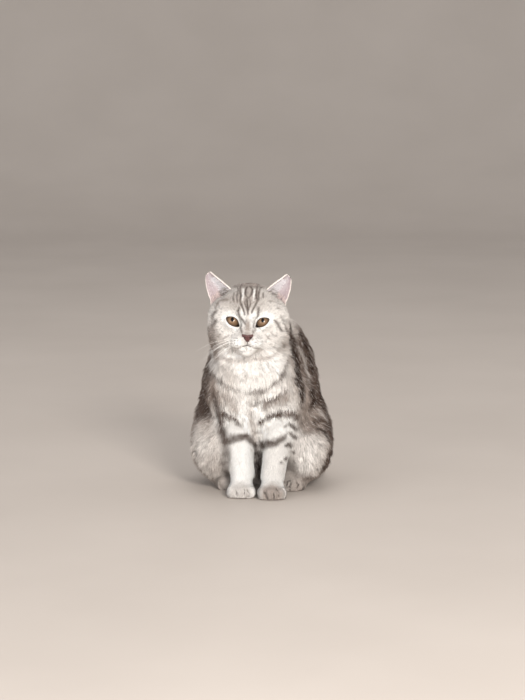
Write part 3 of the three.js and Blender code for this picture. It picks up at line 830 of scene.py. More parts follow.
def head_marks() -> list[Mark]:
    """The fine dark lines of the forehead, cheeks and muzzle, in the head's frame."""
    on = {"on_head": True}
    soft = {"on_head": True, "edge": 0.8}
    found = [
        # crown
        *dark(4.6, 0.3, ((-25, 0, 46), (-14, -9, 49), (-2, -13, 49.5), (8, -12, 49),
            (19, -4, 47)), **on),
        *dark(3.0, 0.75, ((-12, 4, 50), (-15, 25, 49), (-16, 45, 38), (-15, 56, 20)),
            ((-2, 2, 51), (-2, 25, 51), (-2, 46, 41), (-2, 58, 20)), ((9, 4, 50), (12, 25, 49),
            (13, 45, 38), (12, 56, 20)), ((-30, 16, 44), (-38, 34, 36), (-42, 48, 18)), ((26, 16, 44),
            (36, 34, 36), (40, 48, 18)), **on),
        # forehead
        *dark(1.7, 0.95, ((0.5, -45.5, 8.5), (0, -43.5, 16), (-1, -41.5, 25), (-2, -38, 33)),
            ((-0.5, -37, 34), (-4, -33, 38.5), (-5, -25.5, 43.5), (-2.5, -14, 48.5)), ((1, -37, 34),
            (4.5, -32.5, 38.5), (5.5, -25, 43.5), (1.5, -11, 49)), **soft),
        *dark(1.6, 0.92, ((-12.5, -3, 49), (-13, -23.5, 43), (-11.5, -33, 36.5),
            (-12.5, -38.5, 29), (-10, -41.5, 22), (-7, -43, 16), (-4.5, -44.5, 8)), ((12, -3, 49),
            (12, -26, 42.5), (12.5, -33.5, 36), (14, -38.5, 28.5), (11, -41, 22.5), (8.5, -43, 16.5),
            (6, -44, 10.5)), **soft),
        *dark(2.0, 0.85, ((-13.5, -41, 18.5), (-14.5, -41, 12.5), (-12.5, -41.5, 5),
            (-8, -44.5, 0), (-3.5, -48, -5)), ((17, -40, 19), (16.5, -40.5, 12), (15.5, -41, 6)), **soft),
        *dark(1.7, 0.75, ((-17, -10, 46.5), (-16, -21, 43.5), (-17.5, -31.5, 36.5),
            (-16.5, -38.5, 26)), ((18, -8, 47), (16, -20, 44.5), (15.5, -31.5, 37.5), (16.5, -37.5, 30)),
            ((-22, -22, 40), (-23, -30, 33), (-21, -34, 26)), ((22, -20, 41), (23, -30, 34)), **soft),
        *dark(1.2, 0.8, ((-3, -38, 32.5), (-5, -40.5, 27), (-4, -42.5, 22), (-1.5, -43.5, 16)),
            ((2.5, -38.5, 32), (4, -41.5, 25), (3, -42.5, 20.5), (1.5, -43.5, 16)), **soft),
        *white(1.5, 0.75, ((-8.5, -20, 46), (-8, -31, 38.5), (-8.5, -38.5, 30)),
            ((8.5, -20, 46), (8.5, -31, 38.5), (8.5, -38.5, 30)), **soft),
        # between eye and nose
        *dark(1.2, 0.8, ((-12.5, -40, -9), (-10.5, -44, -12), (-9.5, -47.5, -15),
            (-8, -51, -18.5)), ((13.5, -40, -9), (13, -41, -12), (12.5, -44, -15.5)), **soft),
        *smoke(2.6, 0.55, ((-9, -48, -15), (-7.5, -53, -19)), ((11, -46, -15), (10, -51, -19)),
            **soft),
        # cheeks
        *dark(3.8, 0.9, ((-48, -28, -3.5), (-52, -25, -7), (-56, -20.5, -12)), **soft),
        *dark(3.2, 0.75, ((-48, -28, 12.5), (-53, -24.5, 8.5), (-55, -22, 3), (-56, -20, -4)),
            **soft),
        *dark(2.6, 0.75, ((41, -33, 0), (46.5, -30, -5.5), (51, -26.5, -13), (55, -21, -16)),
            **soft),
        *dark(2.2, 0.6, ((50.5, -27, 7), (55, -22.5, 0.5), (57.5, -19, -9), (58, -10, -18)),
            **soft),
        *dark(3.0, 0.5, ((56, -18, -14), (60, 0, -20), (58, 16, -24)), ((-58, -12, -16),
            (-60, 6, -22)), **soft),
        *smoke(1.2, 0.42, ((-37, -27.5, -31.5), (-32.5, -30.5, -27), (-27, -33, -24.5)),
            ((28.5, -32, -22.5), (32.5, -31, -27), (36.5, -28.5, -30)), ((34.5, -31.5, -18),
            (40.5, -29.5, -22.5), (46.5, -26.5, -25.5)), **soft),
        *ash(3.0, 0.5, ((54.5, -15.5, -33.5), (56.5, -3, -43), (53, -5, -50.5)), **soft),
        # mouth
        *smoke(0.9, 0.7, *MOUTH, **soft),
        # ear roots
        *dark(1.3, 0.8, ((-36, -14, 37), (-40, -11, 35), (-44, -9, 31)), ((-46, -15, 28),
            (-43, -19, 30), (-38, -20, 33)), ((-50, -12, 24), (-49, -17, 23), (-45, -22, 23)),
            ((34, -14, 37), (39, -11, 35), (43, -9, 31)), ((50, -10, 24), (48, -15, 24), (44, -19, 25)),
            **soft),
        *smoke(2.8, 0.75, ((-51, -22, 17), (-48, -21, 23), (-47, -16.5, 27.5)),
            ((-44.5, -18.5, 28.5), (-38, -24, 29.5), (-32, -28.5, 30)), **soft),
        *smoke(2.0, 0.45, ((33, -27.5, 30), (42, -20.5, 29.5)), ((44.5, -26.5, 20.5),
            (50, -24, 17)), **soft),
    ]
    for side in (-1, 1):
        for height, start in ((-28.5, 13.0), (-32.5, 12.0), (-36.8, 13.5)):
            for dot in range(4):
                x, y = start + 3.6 * dot, 0.35 * (start + 3.6 * dot)
                dash = ((side * x, -54 + y, height), (side * (x + 1.6), -53.6 + y, height - 0.2))
                found.append(Mark(Tone.DARK, 0.7, 0.85, dash, on_head=True, taper=False))
    return found


def body_marks() -> list[Mark]:
    """The stripes and spots of the neck, body and legs, in the part's frame."""
    flank = (
        ((40, 0, 252), (64, 22, 222), (84, 36, 184), (96, 44, 150), (101, 50, 122)),
        ((26, 26, 236), (52, 50, 204), (76, 66, 165), (92, 72, 128), (97, 74, 98)),
        ((16, 48, 210), (40, 74, 176), (64, 90, 134), (80, 96, 96), (84, 98, 64)),
    )
    haunch = (
        ((107, -4, 108), (111, 14, 96), (110, 34, 80), (104, 56, 60)),
        ((108, -6, 82), (110, 14, 70), (108, 34, 56), (102, 50, 40)),
        ((103, -16, 50), (106, 4, 44), (104, 24, 32)),
    )
    soft = {"edge": 0.9}
    found = [
        # painted shadow under the jaw, where the chin's ruff overhangs the bib, and the dark necklace
        *ash(3.0, 0.6, ((-75, -57, 221), (-66, -90, 217), (-51, -103, 216), (-33, -109, 216),
            (-14, -111, 217), (0, -109, 219), (15, -105, 222), (28, -100, 231), (37, -95, 241)), **soft),
        *dark(3.2, 0.8, ((-79, -56, 200), (-75, -84, 191), (-66, -93, 181), (-54, -98, 173),
            (-42, -100, 169), (-28, -100, 167)), ((-22, -100, 166), (-9, -101, 167), (2, -100, 168),
            (13, -100, 173), (24, -100, 181), (32, -99, 193), (37, -93, 206), (42, -87, 218)), **soft),
        # chest and upper arms
        *ash(9.0, 0.75, ((-61, -94, 164), (-53, -93, 156), (-47, -92, 146), (-44, -90, 136)),
            **soft),
        *smoke(3.4, 0.55, ((-24, -95, 150), (-15, -95, 145), (-5, -95, 142)), ((-18, -97, 156),
            (-7, -97, 153)), **soft),
        *dark(3.0, 0.8, ((-14, -95, 146), (0, -96, 150), (12, -95, 153), (25, -95, 158),
            (38, -96, 166))),
        *dark(5.9, 0.92, ((-4, -86, 113), (1, -87, 118), (12, -88, 124), (25, -87, 128),
            (38, -85, 130), (48, -82, 126), (55, -76, 121))),
        *dark(2.0, 0.8, ((26, -89, 137), (37, -87, 134), (46, -85, 130))),
        *dark(5.6, 0.9, ((-68, -74, 131), (-61, -80, 128), (-51, -82, 124), (-42, -82, 120),
            (-34, -82, 113))),
        *ash(4.5, 0.65, ((-19, -94, 140), (-16, -88, 120), (-11, -69, 98), (-9, -54, 81)),
            **soft),
        # forelegs
        *dark(2.9, 0.9, ((34, -80, 107), (42, -79, 112), (50, -71, 105), (56, -62, 100)),
            ((35, -79, 94), (42, -76, 99), (50, -68, 91), (54, -60, 88))),
        *dark(3.0, 0.95, ((37, -79, 78), (48, -64, 76)), ((35, -82, 57), (41, -73, 60)),
            ((28, -87, 55), (33, -84, 53))),
        *dark(6.2, 0.9, ((-7, -50, 70), (0, -62, 76), (7, -74, 80), (19, -81, 85),
            (31, -82, 89), (36, -80, 93))),
        *dark(6.0, 0.88, ((-58, -64, 82), (-53, -69, 85), (-40, -75, 90), (-27, -74, 91),
            (-18, -69, 86), (-10, -53, 75))),
        *dark(3.0, 0.8, ((-64, -50, 70), (-60, -64, 63)), ((-62, -52, 52), (-58, -66, 46))),
        *dark(2.6, 0.75, ((50, -56, 66), (46, -66, 68)), ((52, -50, 50), (46, -66, 46))),
        # painted shade in the gap between the forelegs
        *deep(7.0, 0.92, ((-8, -50, 76), (-7, -42, 58), (-4, -34, 36), (-3, -20, 12)), **soft),
        *ash(1.8, 0.6, ((-17, -68, 71), (-14, -65, 67)), ((-34, -80, 53), (-34, -81, 49))),
        # near flank, behind the right foreleg: dark fur, with painted shade in the gap between foreleg and
        # flank
        *dark(12.0, 0.6, ((-80, -61, 191), (-84, -70, 170), (-88, -40, 140), (-90, -34, 118)),
            **soft),
        # dark fur deepened with painted shade where the flank passes behind the foreleg
        *dark(8.0, 0.85, ((-75, -86, 168), (-69, -84, 142), (-64, -72, 117), (-61, -66, 102),
            (-57, -66, 84)), **soft),
        *dark(4.5, 0.7, ((-99, -10, 150), (-103, 11, 120), (-101, -34, 106))),
        # these two: painted shade in the gap behind the foreleg, over dark fur
        *dark(7.0, 0.7, ((-60, -64, 96), (-56, -64, 74), (-54, -62, 50), (-54, -52, 26)),
            **soft),
        *dark(6.0, 0.75, ((-63, -71, 126), (-60, -66, 112), (-58, -62, 98)), **soft),
        # far flank
        *deep(8.0, 0.97, ((41, -84, 266), (45, -82, 248), (50, -76, 228), (54, -74, 208),
            (58, -83, 188), (60, -89, 169), (62, -86, 150))),
        *deep(4.6, 0.9, ((60, -62, 252), (64, -58, 241), (73, -45, 221), (78, -40, 196),
            (80, -40, 173), (78, -56, 158))),
        *silver(3.4, 0.5, ((57, -66, 232), (64, -58, 215), (70, -58, 194), (73, -68, 175))),
        *silver(3.0, 0.45, ((74, -40, 227), (82, -25, 203), (87, -14, 175))),
        *deep(9.0, 0.95, ((76, -72, 160), (80, -40, 146), (82, -29, 134))),
        *dark(4.2, 0.9, ((60, -52, 257), (74, -31, 232), (82, -23, 206), (88, -12, 176),
            (93, 5, 147))),
        *ash(9.0, 0.75, ((65, -74, 137), (71, -54, 116), (71, -58, 103)), **soft),
        # haunch edges
        *deep(3.8, 0.9, ((84, -26, 142), (94, -11, 128), (103, 7, 112))),
        *silver(3.2, 0.7, ((86, -26, 127), (94, -22, 117), (102, -13, 105))),
        *dark(3.4, 0.9, ((80, -50, 107), (92, -37, 111), (103, -21, 100))),
        *deep(3.8, 0.88, ((90, -53, 99), (100, -46, 92), (105, -44, 78))),
        *dark(6.0, 0.85, ((107, -30, 86), (107, -40, 65), (102, -46, 46), (93, -42, 29))),
        *smoke(7.5, 0.85, ((68, -48, 22), (80, -40, 19), (92, -36, 25)), **soft),
        *smoke(6.0, 0.8, ((-104, -20, 96), (-106, -20, 70), (-100, -30, 44), (-90, -34, 24)),
            **soft),
        # spine
        *deep(5.0, 0.95, ((-14, 0, 262), (-10, 40, 222), (-5, 80, 170), (-1, 104, 110),
            (2, 108, 62), (4, 96, 46))),
        *dark(3.2, 0.8, ((-30, 6, 252), (-28, 44, 212), (-22, 78, 160), (-18, 98, 104)),
            ((8, 2, 256), (12, 44, 212), (14, 80, 160), (18, 100, 104))),
        # saddle behind the shoulders
        *dark(6.0, 0.7, ((-60, -20, 246), (-30, 18, 244)), ((34, -16, 252), (6, 18, 244))),
    ]
    for path in flank:
        found += dark(5.5, 0.85, path, mirrored(path, -1.0), edge=0.7)
    found += dark(5.5, 0.85, ((-60, -34, 250), (-76, -8, 215), (-88, 6, 180), (-96, 12, 150),
        (-100, 20, 128)), edge=0.7)
    for path in haunch:
        found += dark(4.4, 0.8, path, mirrored(path), edge=0.8)
    return found


def toe_slits() -> list[Mark]:
    """The clefts between the toes, painted dark as shade in the gaps, in the part's frame; the skin is
    creased along them too.
    """
    fore = (
        ((-42, -103, 15), (-40.5, -105, 7)),
        ((-28, -103, 17), (-28, -105, 5)),
        ((-22.5, -103, 15), (-20, -101, 4)),
        ((4, -111, 16), (6.5, -114, 3)),
        ((16, -115, 13), (17, -113, 3)),
        ((22, -110, 19), (25, -114, 6)),
        ((34, -107, 17), (36, -110, 5)),
    )
    hind = (((-67, -40, 12), (-64, -39, 3)), ((53, -49, 16), (54, -51, 5)), ((43, -48, 16), (43, -50, 5)))
    return deep(1.3, 1.0, *fore, *hind)


FINE_REACH = 14.0  # strokes narrower than this are laid on the surface itself, and are a little broken


class Markings:
    """The tabby pattern over skin and coat: broad ground colours with dark strokes over them."""

    def __init__(self, shape: BVHTree) -> None:
        """Lays each stroke on the outer shape.

        Args:
            shape: the frame's solids, in millimetres, that the strokes are laid on.
        """
        self.grain = Grain(SEED)
        self.fine = Grain(SEED + 1)
        every = ground_marks() + body_marks() + head_marks() + toe_slits()
        self.strokes = [self._laid(mark, shape) for mark in every]

    @staticmethod
    def _laid(mark: Mark, shape: BVHTree) -> tuple[Mark, Array, Array]:
        """A mark with its samples on the surface and the reach at each.

        Args:
            mark: the mark.
            shape: the shape that it lies on.

        Returns:
            The mark, samples and reaches.
        """
        samples = smooth_path(mark.path, max(mark.reach * 0.5, 0.8))
        if mark.on_head:
            samples = HEAD.place(samples)
        if mark.reach < FINE_REACH:
            samples = np.array([tuple(shape.find_nearest(Vector(spot))[0]) for spot in samples])
        share = np.linspace(0, 1, len(samples))
        reach = np.full(len(samples), mark.reach)
        if mark.taper and len(samples) > 3:
            reach = mark.reach * (0.6 + 0.4 * np.sin(math.pi * share) ** 0.5)
        return mark, samples, reach

    def tint(self, places: Array, tail_share: Array) -> Array:
        """The linear colour of the coat at places on its outside.

        Args:
            places: the places, in the part's frame.
            tail_share: how far each is along the tail, or below 0 off the tail.

        Returns:
            One colour for each.
        """
        away = np.linalg.norm(places - np.array(HEAD.origin), axis=1)
        loose = ease(away, 55, 110)
        warped = places + self.grain.vector_at(places, 13.0) * (2.4 * loose)[:, None]
        warped = warped + self.fine.vector_at(places, 3.6) * (0.45 + 0.6 * loose)[:, None]
        colours = filled(Tone.ASH.linear(), len(places))
        broken = 1 + 0.25 * self.fine.at(places, 5.0)
        for mark, samples, reach in self.strokes:
            margin = mark.reach * (1 + mark.edge)
            near = np.all((warped > samples.min(0) - margin) & (warped < samples.max(0) + margin), axis=1)
            index = np.nonzero(near)[0]
            if not len(index):
                continue
            depth = np.full(len(index), np.inf)
            for spot, width in zip(samples, reach):
                depth = np.minimum(depth, np.linalg.norm(warped[index] - spot, axis=1) - width)
            cover = 1 - ease(depth, -mark.edge * mark.reach, mark.edge * mark.reach)
            patchy = broken[index] if mark.reach < FINE_REACH else 1.0
            cover = np.clip(cover * mark.strength * patchy, 0, 1)[:, None]
            colours[index] = blend(colours[index], mark.tone.linear(), cover)
        fleck = (1 - loose) * ease(self.fine.at(places, 2.3), 0.15, 0.6)
        fleck = fleck * (1 - 0.5 * ease(self.grain.at(places, 9.0), 0, 0.5))
        colours = colours * (1 - 0.32 * fleck)[:, None]
        on_tail = tail_share >= 0
        if on_tail.any():
            colours[on_tail] = self._tail_tint(warped[on_tail], tail_share[on_tail])
        return colours

    def _tail_tint(self, places: Array, share: Array) -> Array:
        """Dark rings and a dark end on the tail.

        Args:
            places: places on the tail.
            share: how far along it each is.

        Returns:
            The colours.
        """
        wave = np.sin(2 * math.pi * (share * 8.0 + 0.10 * self.grain.at(places, 10.0)))
        ring = np.maximum(ease(wave, -0.1, 0.55), ease(share, 0.88, 0.93)) * 0.9
        pale = Tone.ASH.linear() * (1 - 0.25 * share[:, None])
        return blend(pale, Tone.DEEP.linear(), ring[:, None])


# -------- eyes


@dataclass
class Eye:
    """One eye: the ball, where its lids part, and the dark wet rim along them."""

    side: int
    apart: float = 46.0
    centre: tuple[float, float] = (-26.4, -4.0)
    radius: float = 13.6
    bulge: float = 0.9
    gaze: float = 17.0
    lid: float = 0.8
    rim: float = 0.52
    opening: tuple[tuple[float, float], ...] = (
        (-10.6, -6.4), (-9.6, -1.2), (-7.4, 3.4), (-3.4, 6.9), (1.5, 7.9), (6.4, 7.6), (9.3, 6.2),
        (9.0, 3.1), (6.6, -1.0), (2.3, -4.6), (-3.0, -6.5), (-7.4, -7.2),
    )

    def middle(self) -> Array:
        """The ball's centre in the head's frame."""
        return np.array([self.side * self.apart / 2, *self.centre])

    def outline(self, count: int = 96) -> Array:
        """The opening as a smooth closed loop: x away from the nose and z up, from the ball's centre.

        Args:
            count: how many points it has.

        Returns:
            The points.
        """
        spots = np.array(self.opening)
        n = len(spots)
        t = np.arange(count) / count * n
        i, f = t.astype(int), (t % 1)[:, None]
        a, b, c, d = (spots[(i + k) % n] for k in (-1, 0, 1, 2))
        return between(a, b, c, d, f)

    def clearance(self, local: Array) -> Array:
        """How far places in the head's frame lie outside the opening, seen from ahead; inside is below 0.

        Args:
            local: places in the head's frame.

        Returns:
            One distance for each.
        """
        rel = local - self.middle()
        flat = rel[:, [0, 2]] * np.array([self.side, 1.0])
        loop = self.outline(64)
        best = np.full(len(flat), np.inf)
        inside = np.zeros(len(flat), bool)
        for a, b in zip(loop, np.roll(loop, -1, axis=0)):
            span = b - a
            share = np.clip(((flat - a) @ span) / (span @ span), 0, 1)[:, None]
            best = np.minimum(best, np.linalg.norm(flat - a - share * span, axis=1))
            crosses = (a[1] > flat[:, 1]) != (b[1] > flat[:, 1])
            with np.errstate(divide="ignore", invalid="ignore"):
                at = a[0] + (flat[:, 1] - a[1]) * (b[0] - a[0]) / (b[1] - a[1])
            inside ^= crosses & (flat[:, 0] < at)
        return np.where(rel[:, 1] > 4.0, 99.0, np.where(inside, -best, best))

    def around(self, local: Array, reach: float) -> Array:
        """Which places in the head's frame are on its front and within a reach of the ball."""
        rel = local - self.middle()
        return np.nonzero((np.linalg.norm(rel, axis=1) < self.radius + reach) & (rel[:, 1] < 4.0))[0]

    def front(self, flat: Array) -> Array:
        """How far ahead of the ball's centre its surface is, falling away gently past its edge.

        Args:
            flat: places across and up from the ball's centre.

        Returns:
            One distance for each.
        """
        reach = np.linalg.norm(flat, axis=1)
        edge = 0.9 * self.radius
        round_part = np.sqrt(np.maximum(self.radius**2 - np.minimum(reach, edge) ** 2, 0.0))
        return round_part - 1.2 * np.maximum(reach - edge, 0.0)

    def shape_lids(self, local: Array) -> Array:
        """Lids drawn over the ball, and the opening tucked in behind it.

        Args:
            local: the skin's places in the head's frame.

        Returns:
            The places, moved.
        """
        out = local.copy()
        near = self.around(local, 12)
        rel = local[near] - self.middle()
        gap = self.clearance(local[near])
        ball = -self.front(rel[:, [0, 2]])
        lid = ball - self.lid * ease(gap, -0.4, 0.7)
        rise = rel[:, 1] - lid
        blend = 3.2 * ease(gap, 0.0, 3.5)
        over = lid + (rise - np.sqrt(rise**2 + blend**2)) / 2
        hold = ease(gap, 0.0, 5.5)
        drawn = np.where(rise < 0, over * hold + lid * (1 - hold), over)
        drawn += 0.6 * ease(rel[:, 2], 1.0, 5.0) * bell(gap - 3.2, 0.8)
        tucked = np.maximum(rel[:, 1], ball + 2.2)
        shut = ease(gap, -0.8, 0.0)
        out[near, 1] = self.middle()[1] + tucked * (1 - shut) + drawn * shut
        return out

    def build(self, finish: EyeFinish) -> bpy.types.Object:
        """The eyeball, with a cornea that stands a little out of it.

        Args:
            finish: the eye's finish.

        Returns:
            The eyeball.
        """
        rows, columns = 56, 72
        theta = np.linspace(0, math.pi, rows)
        lift = self.bulge * ease(-theta, -0.85, -0.35)
        radius = self.radius - self.bulge + lift
        phi = np.arange(columns) * 2 * math.pi / columns
        ring = np.stack([np.cos(phi), np.zeros(columns), np.sin(phi)], axis=1)
        sine, cosine = (f(theta)[:, None, None] for f in (np.sin, np.cos))
        points = radius[:, None, None] * (sine * ring[None] - cosine * np.array([0.0, 1.0, 0.0]))
        inner = points[1:-1].reshape(-1, 3)
        points = np.vstack([inner, points[0, :1], points[-1, :1]])
        faces = grid_faces(rows - 2, columns, closed=True)[:, ::-1]
        turn = np.arange(columns)
        last = (rows - 3) * columns
        caps = [np.stack([np.full(columns, len(inner)), turn, (turn + 1) % columns], 1)]
        caps.append(np.stack([np.full(columns, len(inner) + 1), last + (turn + 1) % columns, last + turn], 1))
        faces = np.vstack([faces, *caps])
        name = sided("eye", self.side)
        obj = mesh_object(name + "_ball", points, face_out(points, faces))
        turn_up = Euler((math.radians(-self.gaze), 0, 0), "XYZ").to_matrix()
        axes = Matrix([list(row) for row in HEAD.axes()]) @ turn_up
        obj.matrix_world = Matrix.Translation(Vector(HEAD.place(self.middle()[None])[0] * MM)) @ axes.to_4x4()
        return dressed(obj, finish.material(), "eye", name)

    def rim_parts(self) -> tuple[Array, Array]:
        """The dark lid rim as points and triangles, in the part's frame."""
        loop = self.outline(96) * 0.975
        ahead = self.front(loop) + 0.5
        local = self.middle() + np.stack([self.side * loop[:, 0], -ahead, loop[:, 1]], axis=1)
        path = HEAD.place(local)
        along = unit(np.roll(path, -1, axis=0) - np.roll(path, 1, axis=0))
        out = unit(path - HEAD.place(self.middle()[None]))
        side = np.cross(along, out)
        angle = np.arange(8) * 2 * math.pi / 8
        upper = ease(loop[:, 1], -2.0, 5.0)
        width = self.rim * (0.85 + 0.35 * upper)
        ring = np.cos(angle)[None, :, None] * side[:, None] * width[:, None, None]
        ring = ring + np.sin(angle)[None, :, None] * out[:, None] * (0.75 * width)[:, None, None]
        points = (path[:, None] + ring).reshape(-1, 3)
        row, column = np.meshgrid(np.arange(96), np.arange(8), indexing="ij")
        a, b = row * 8 + column, row * 8 + (column + 1) % 8
        c, d = (row + 1) % 96 * 8 + column, (row + 1) % 96 * 8 + (column + 1) % 8
        faces = np.vstack([np.stack([a, b, c], -1).reshape(-1, 3), np.stack([b, d, c], -1).reshape(-1, 3)])
        return points, face_out(points, faces)


def face_out(points: Array, faces: Array) -> Array:
    """Triangles of one closed body, turned to face out.

    Args:
        points: the body's points.
        faces: its triangles.

    Returns:
        The triangles.
    """
    a, b, c = (points[faces[:, n]] for n in range(3))
    volume = np.sum(np.cross(a, b) * c)
    return faces if volume > 0 else faces[:, ::-1].copy()


EYES = (Eye(1), Eye(-1))


# -------- nose


@dataclass
class Nose:
    """The nose leather: a soft wedge with a notch down its middle and a comma-shaped nostril each side."""

    middle: tuple[float, float, float] = (1.3, -55.2, -26.6)
    width: float = 17.6
    height: float = 10.4
    depth: float = 9.0

    def build(self) -> bpy.types.Object:
        """The leather as one closed mesh with its finish."""
        rows, columns = 44, 60
        v = np.linspace(-1, 1, rows)
        u = np.linspace(-1, 1, columns)
        grid_v, grid_u = np.meshgrid(v, u, indexing="ij")
        front, colour = self._front(grid_u.ravel(), grid_v.ravel())
        back = front.copy()
        back[:, 0] *= 0.8
        back[:, 2] *= 0.8
        back[:, 1] = self.depth * 0.5
        points = np.vstack([front, back])
        faces = sheet_faces(rows, columns)
        placed = HEAD.place(points + np.array(self.middle))
        obj = mesh_object("nose_leather", placed, face_out(placed, faces))
        paint(obj, np.vstack([colour, colour]))
        tones = ((0.55, 0.3, 0.28), (0.45, 0.24, 0.22))
        finish = LeatherFinish("nose_leather", *tones, 0.0008, 0.5, 0.36, painted=True)
        return dressed(obj, finish.material(), "nose", "nose")

    def _front(self, u: Array, v: Array) -> tuple[Array, Array]:
        """The front face over u, across, and v, from the bottom at -1 to the top at 1, with its colours.

        Args:
            u: places across.
            v: places up.

        Returns:
            The points and their colours.
        """
        rise = (v + 1) / 2
        half = self.width / 2 * (0.14 + 0.86 * ease(rise, -0.12, 0.86)) * (1 - 0.10 * ease(rise, 0.86, 1.0))
        x = u * half
        z = self.height / 2 * v + 0.9 * np.abs(u) ** 2 * (v - 0.2)
        z = z - 0.7 * bell(u, 0.22) * ease(rise, 0.8, 1.0)
        round_off = (1 - np.abs(u) ** 3.2) * (1 - np.abs(v) ** 4.0)
        y = -2.9 * round_off**0.6 - 1.5 * ease(rise, 0.25, 0.95) * (1 - u * u)
        groove = bell(u * half, 0.75) * (1 - ease(rise, 0.55, 0.85))
        y = y + 1.0 * groove
        nostril_x, nostril_z = (np.abs(x) - 4.9) / 2.0, (z - 0.2 + 0.35 * (np.abs(x) - 4.9)) / 1.2
        hole = np.exp(-((nostril_x**2 + nostril_z**2) ** 1.3))
        tail = np.exp(-(((np.abs(x) - 6.9) / 1.6) ** 2) - (((z - 0.7) / 0.7) ** 2))
        hole = np.clip(hole + 0.7 * tail, 0, 1)
        y = y + 2.6 * hole
        # painted shade: the leather darkens towards shade along its rim, in the middle groove, towards the
        # top and at the sides, and to dark in the nostrils, as shade in their hollows
        rim = np.clip(1 - round_off * 2.2, 0, 1)
        base = linear((0.35, 0.22, 0.21))
        dark = linear((0.20, 0.11, 0.105))
        shade = linear((0.33, 0.21, 0.20))
        mix = 0.9 * rim + 0.35 * groove + 0.75 * ease(rise, 0.62, 0.95) + 0.4 * np.abs(u) ** 2
        colour = blend(blend(base, shade, np.clip(mix, 0, 1)[:, None]), dark, hole[:, None])
        return np.stack([x, y, z], axis=1), colour


# -------- skin


class Region(Enum):
    """The coat's regions; each is one part of the body, with its own fur."""

    MUZZLE = "muzzle"
    FACE = "face"
    HEAD = "head"
    NECK = "neck"
    TRUNK = "trunk"
    THIGH_LEFT = "thigh_left"
    THIGH_RIGHT = "thigh_right"
    FORELEG_LEFT = "foreleg_left"
    FORELEG_RIGHT = "foreleg_right"
    FOREPAW_LEFT = "forepaw_left"
    FOREPAW_RIGHT = "forepaw_right"
    HIND_FOOT_LEFT = "hind_foot_left"
    HIND_FOOT_RIGHT = "hind_foot_right"
    TAIL = "tail"


@dataclass(frozen=True)
class CoatStyle:
    """How one region's fur grows, in millimetres and degrees."""

    depth: float
    length: float
    width: float
    lift: float
    spacing: float
    bends: bool


PAW_STYLE = CoatStyle(1.0, 2.7, 0.52, 18, 0.78, False)
LIMB_STYLES = {
    "thigh": CoatStyle(5.5, 12.5, 1.00, 33, 1.34, True),
    "foreleg": CoatStyle(2.0, 6.6, 0.72, 23, 0.86, False),
    "forepaw": PAW_STYLE,
    "hind_foot": PAW_STYLE,
}
STYLES = {
    Region.MUZZLE: CoatStyle(1.0, 2.6, 0.42, 18, 0.62, False),
    Region.FACE: CoatStyle(1.6, 3.4, 0.50, 21, 0.66, False),
    Region.HEAD: CoatStyle(3.0, 7.5, 0.80, 25, 1.05, True),
    Region.NECK: CoatStyle(5.5, 12.0, 0.95, 26, 1.20, True),
    Region.TRUNK: CoatStyle(5.0, 11.5, 1.05, 30, 1.36, True),
    Region.TAIL: CoatStyle(4.5, 10.0, 1.00, 26, 1.25, True),
} | {Region(sided(part, side)): style for part, style in LIMB_STYLES.items() for side in (1, -1)}
LIES = {
    "neck": (0.0, 0.15, -1.0),
    "foreleg": (0.0, 0.0, -1.0),
    "forepaw": (0.0, -0.8, -0.6),
    "hind_foot": (0.0, -0.9, -0.4),
    "thigh_left": (0.30, 0.35, -1.0),
    "thigh_right": (-0.30, 0.35, -1.0),
}
REGIONS = list(Region)
TAIL_NODES = ("tail_base", "tail_middle", "tail_end")
FLESH = (*(r.value for r in Region if r not in (Region.FACE, Region.TAIL)), *TAIL_NODES)


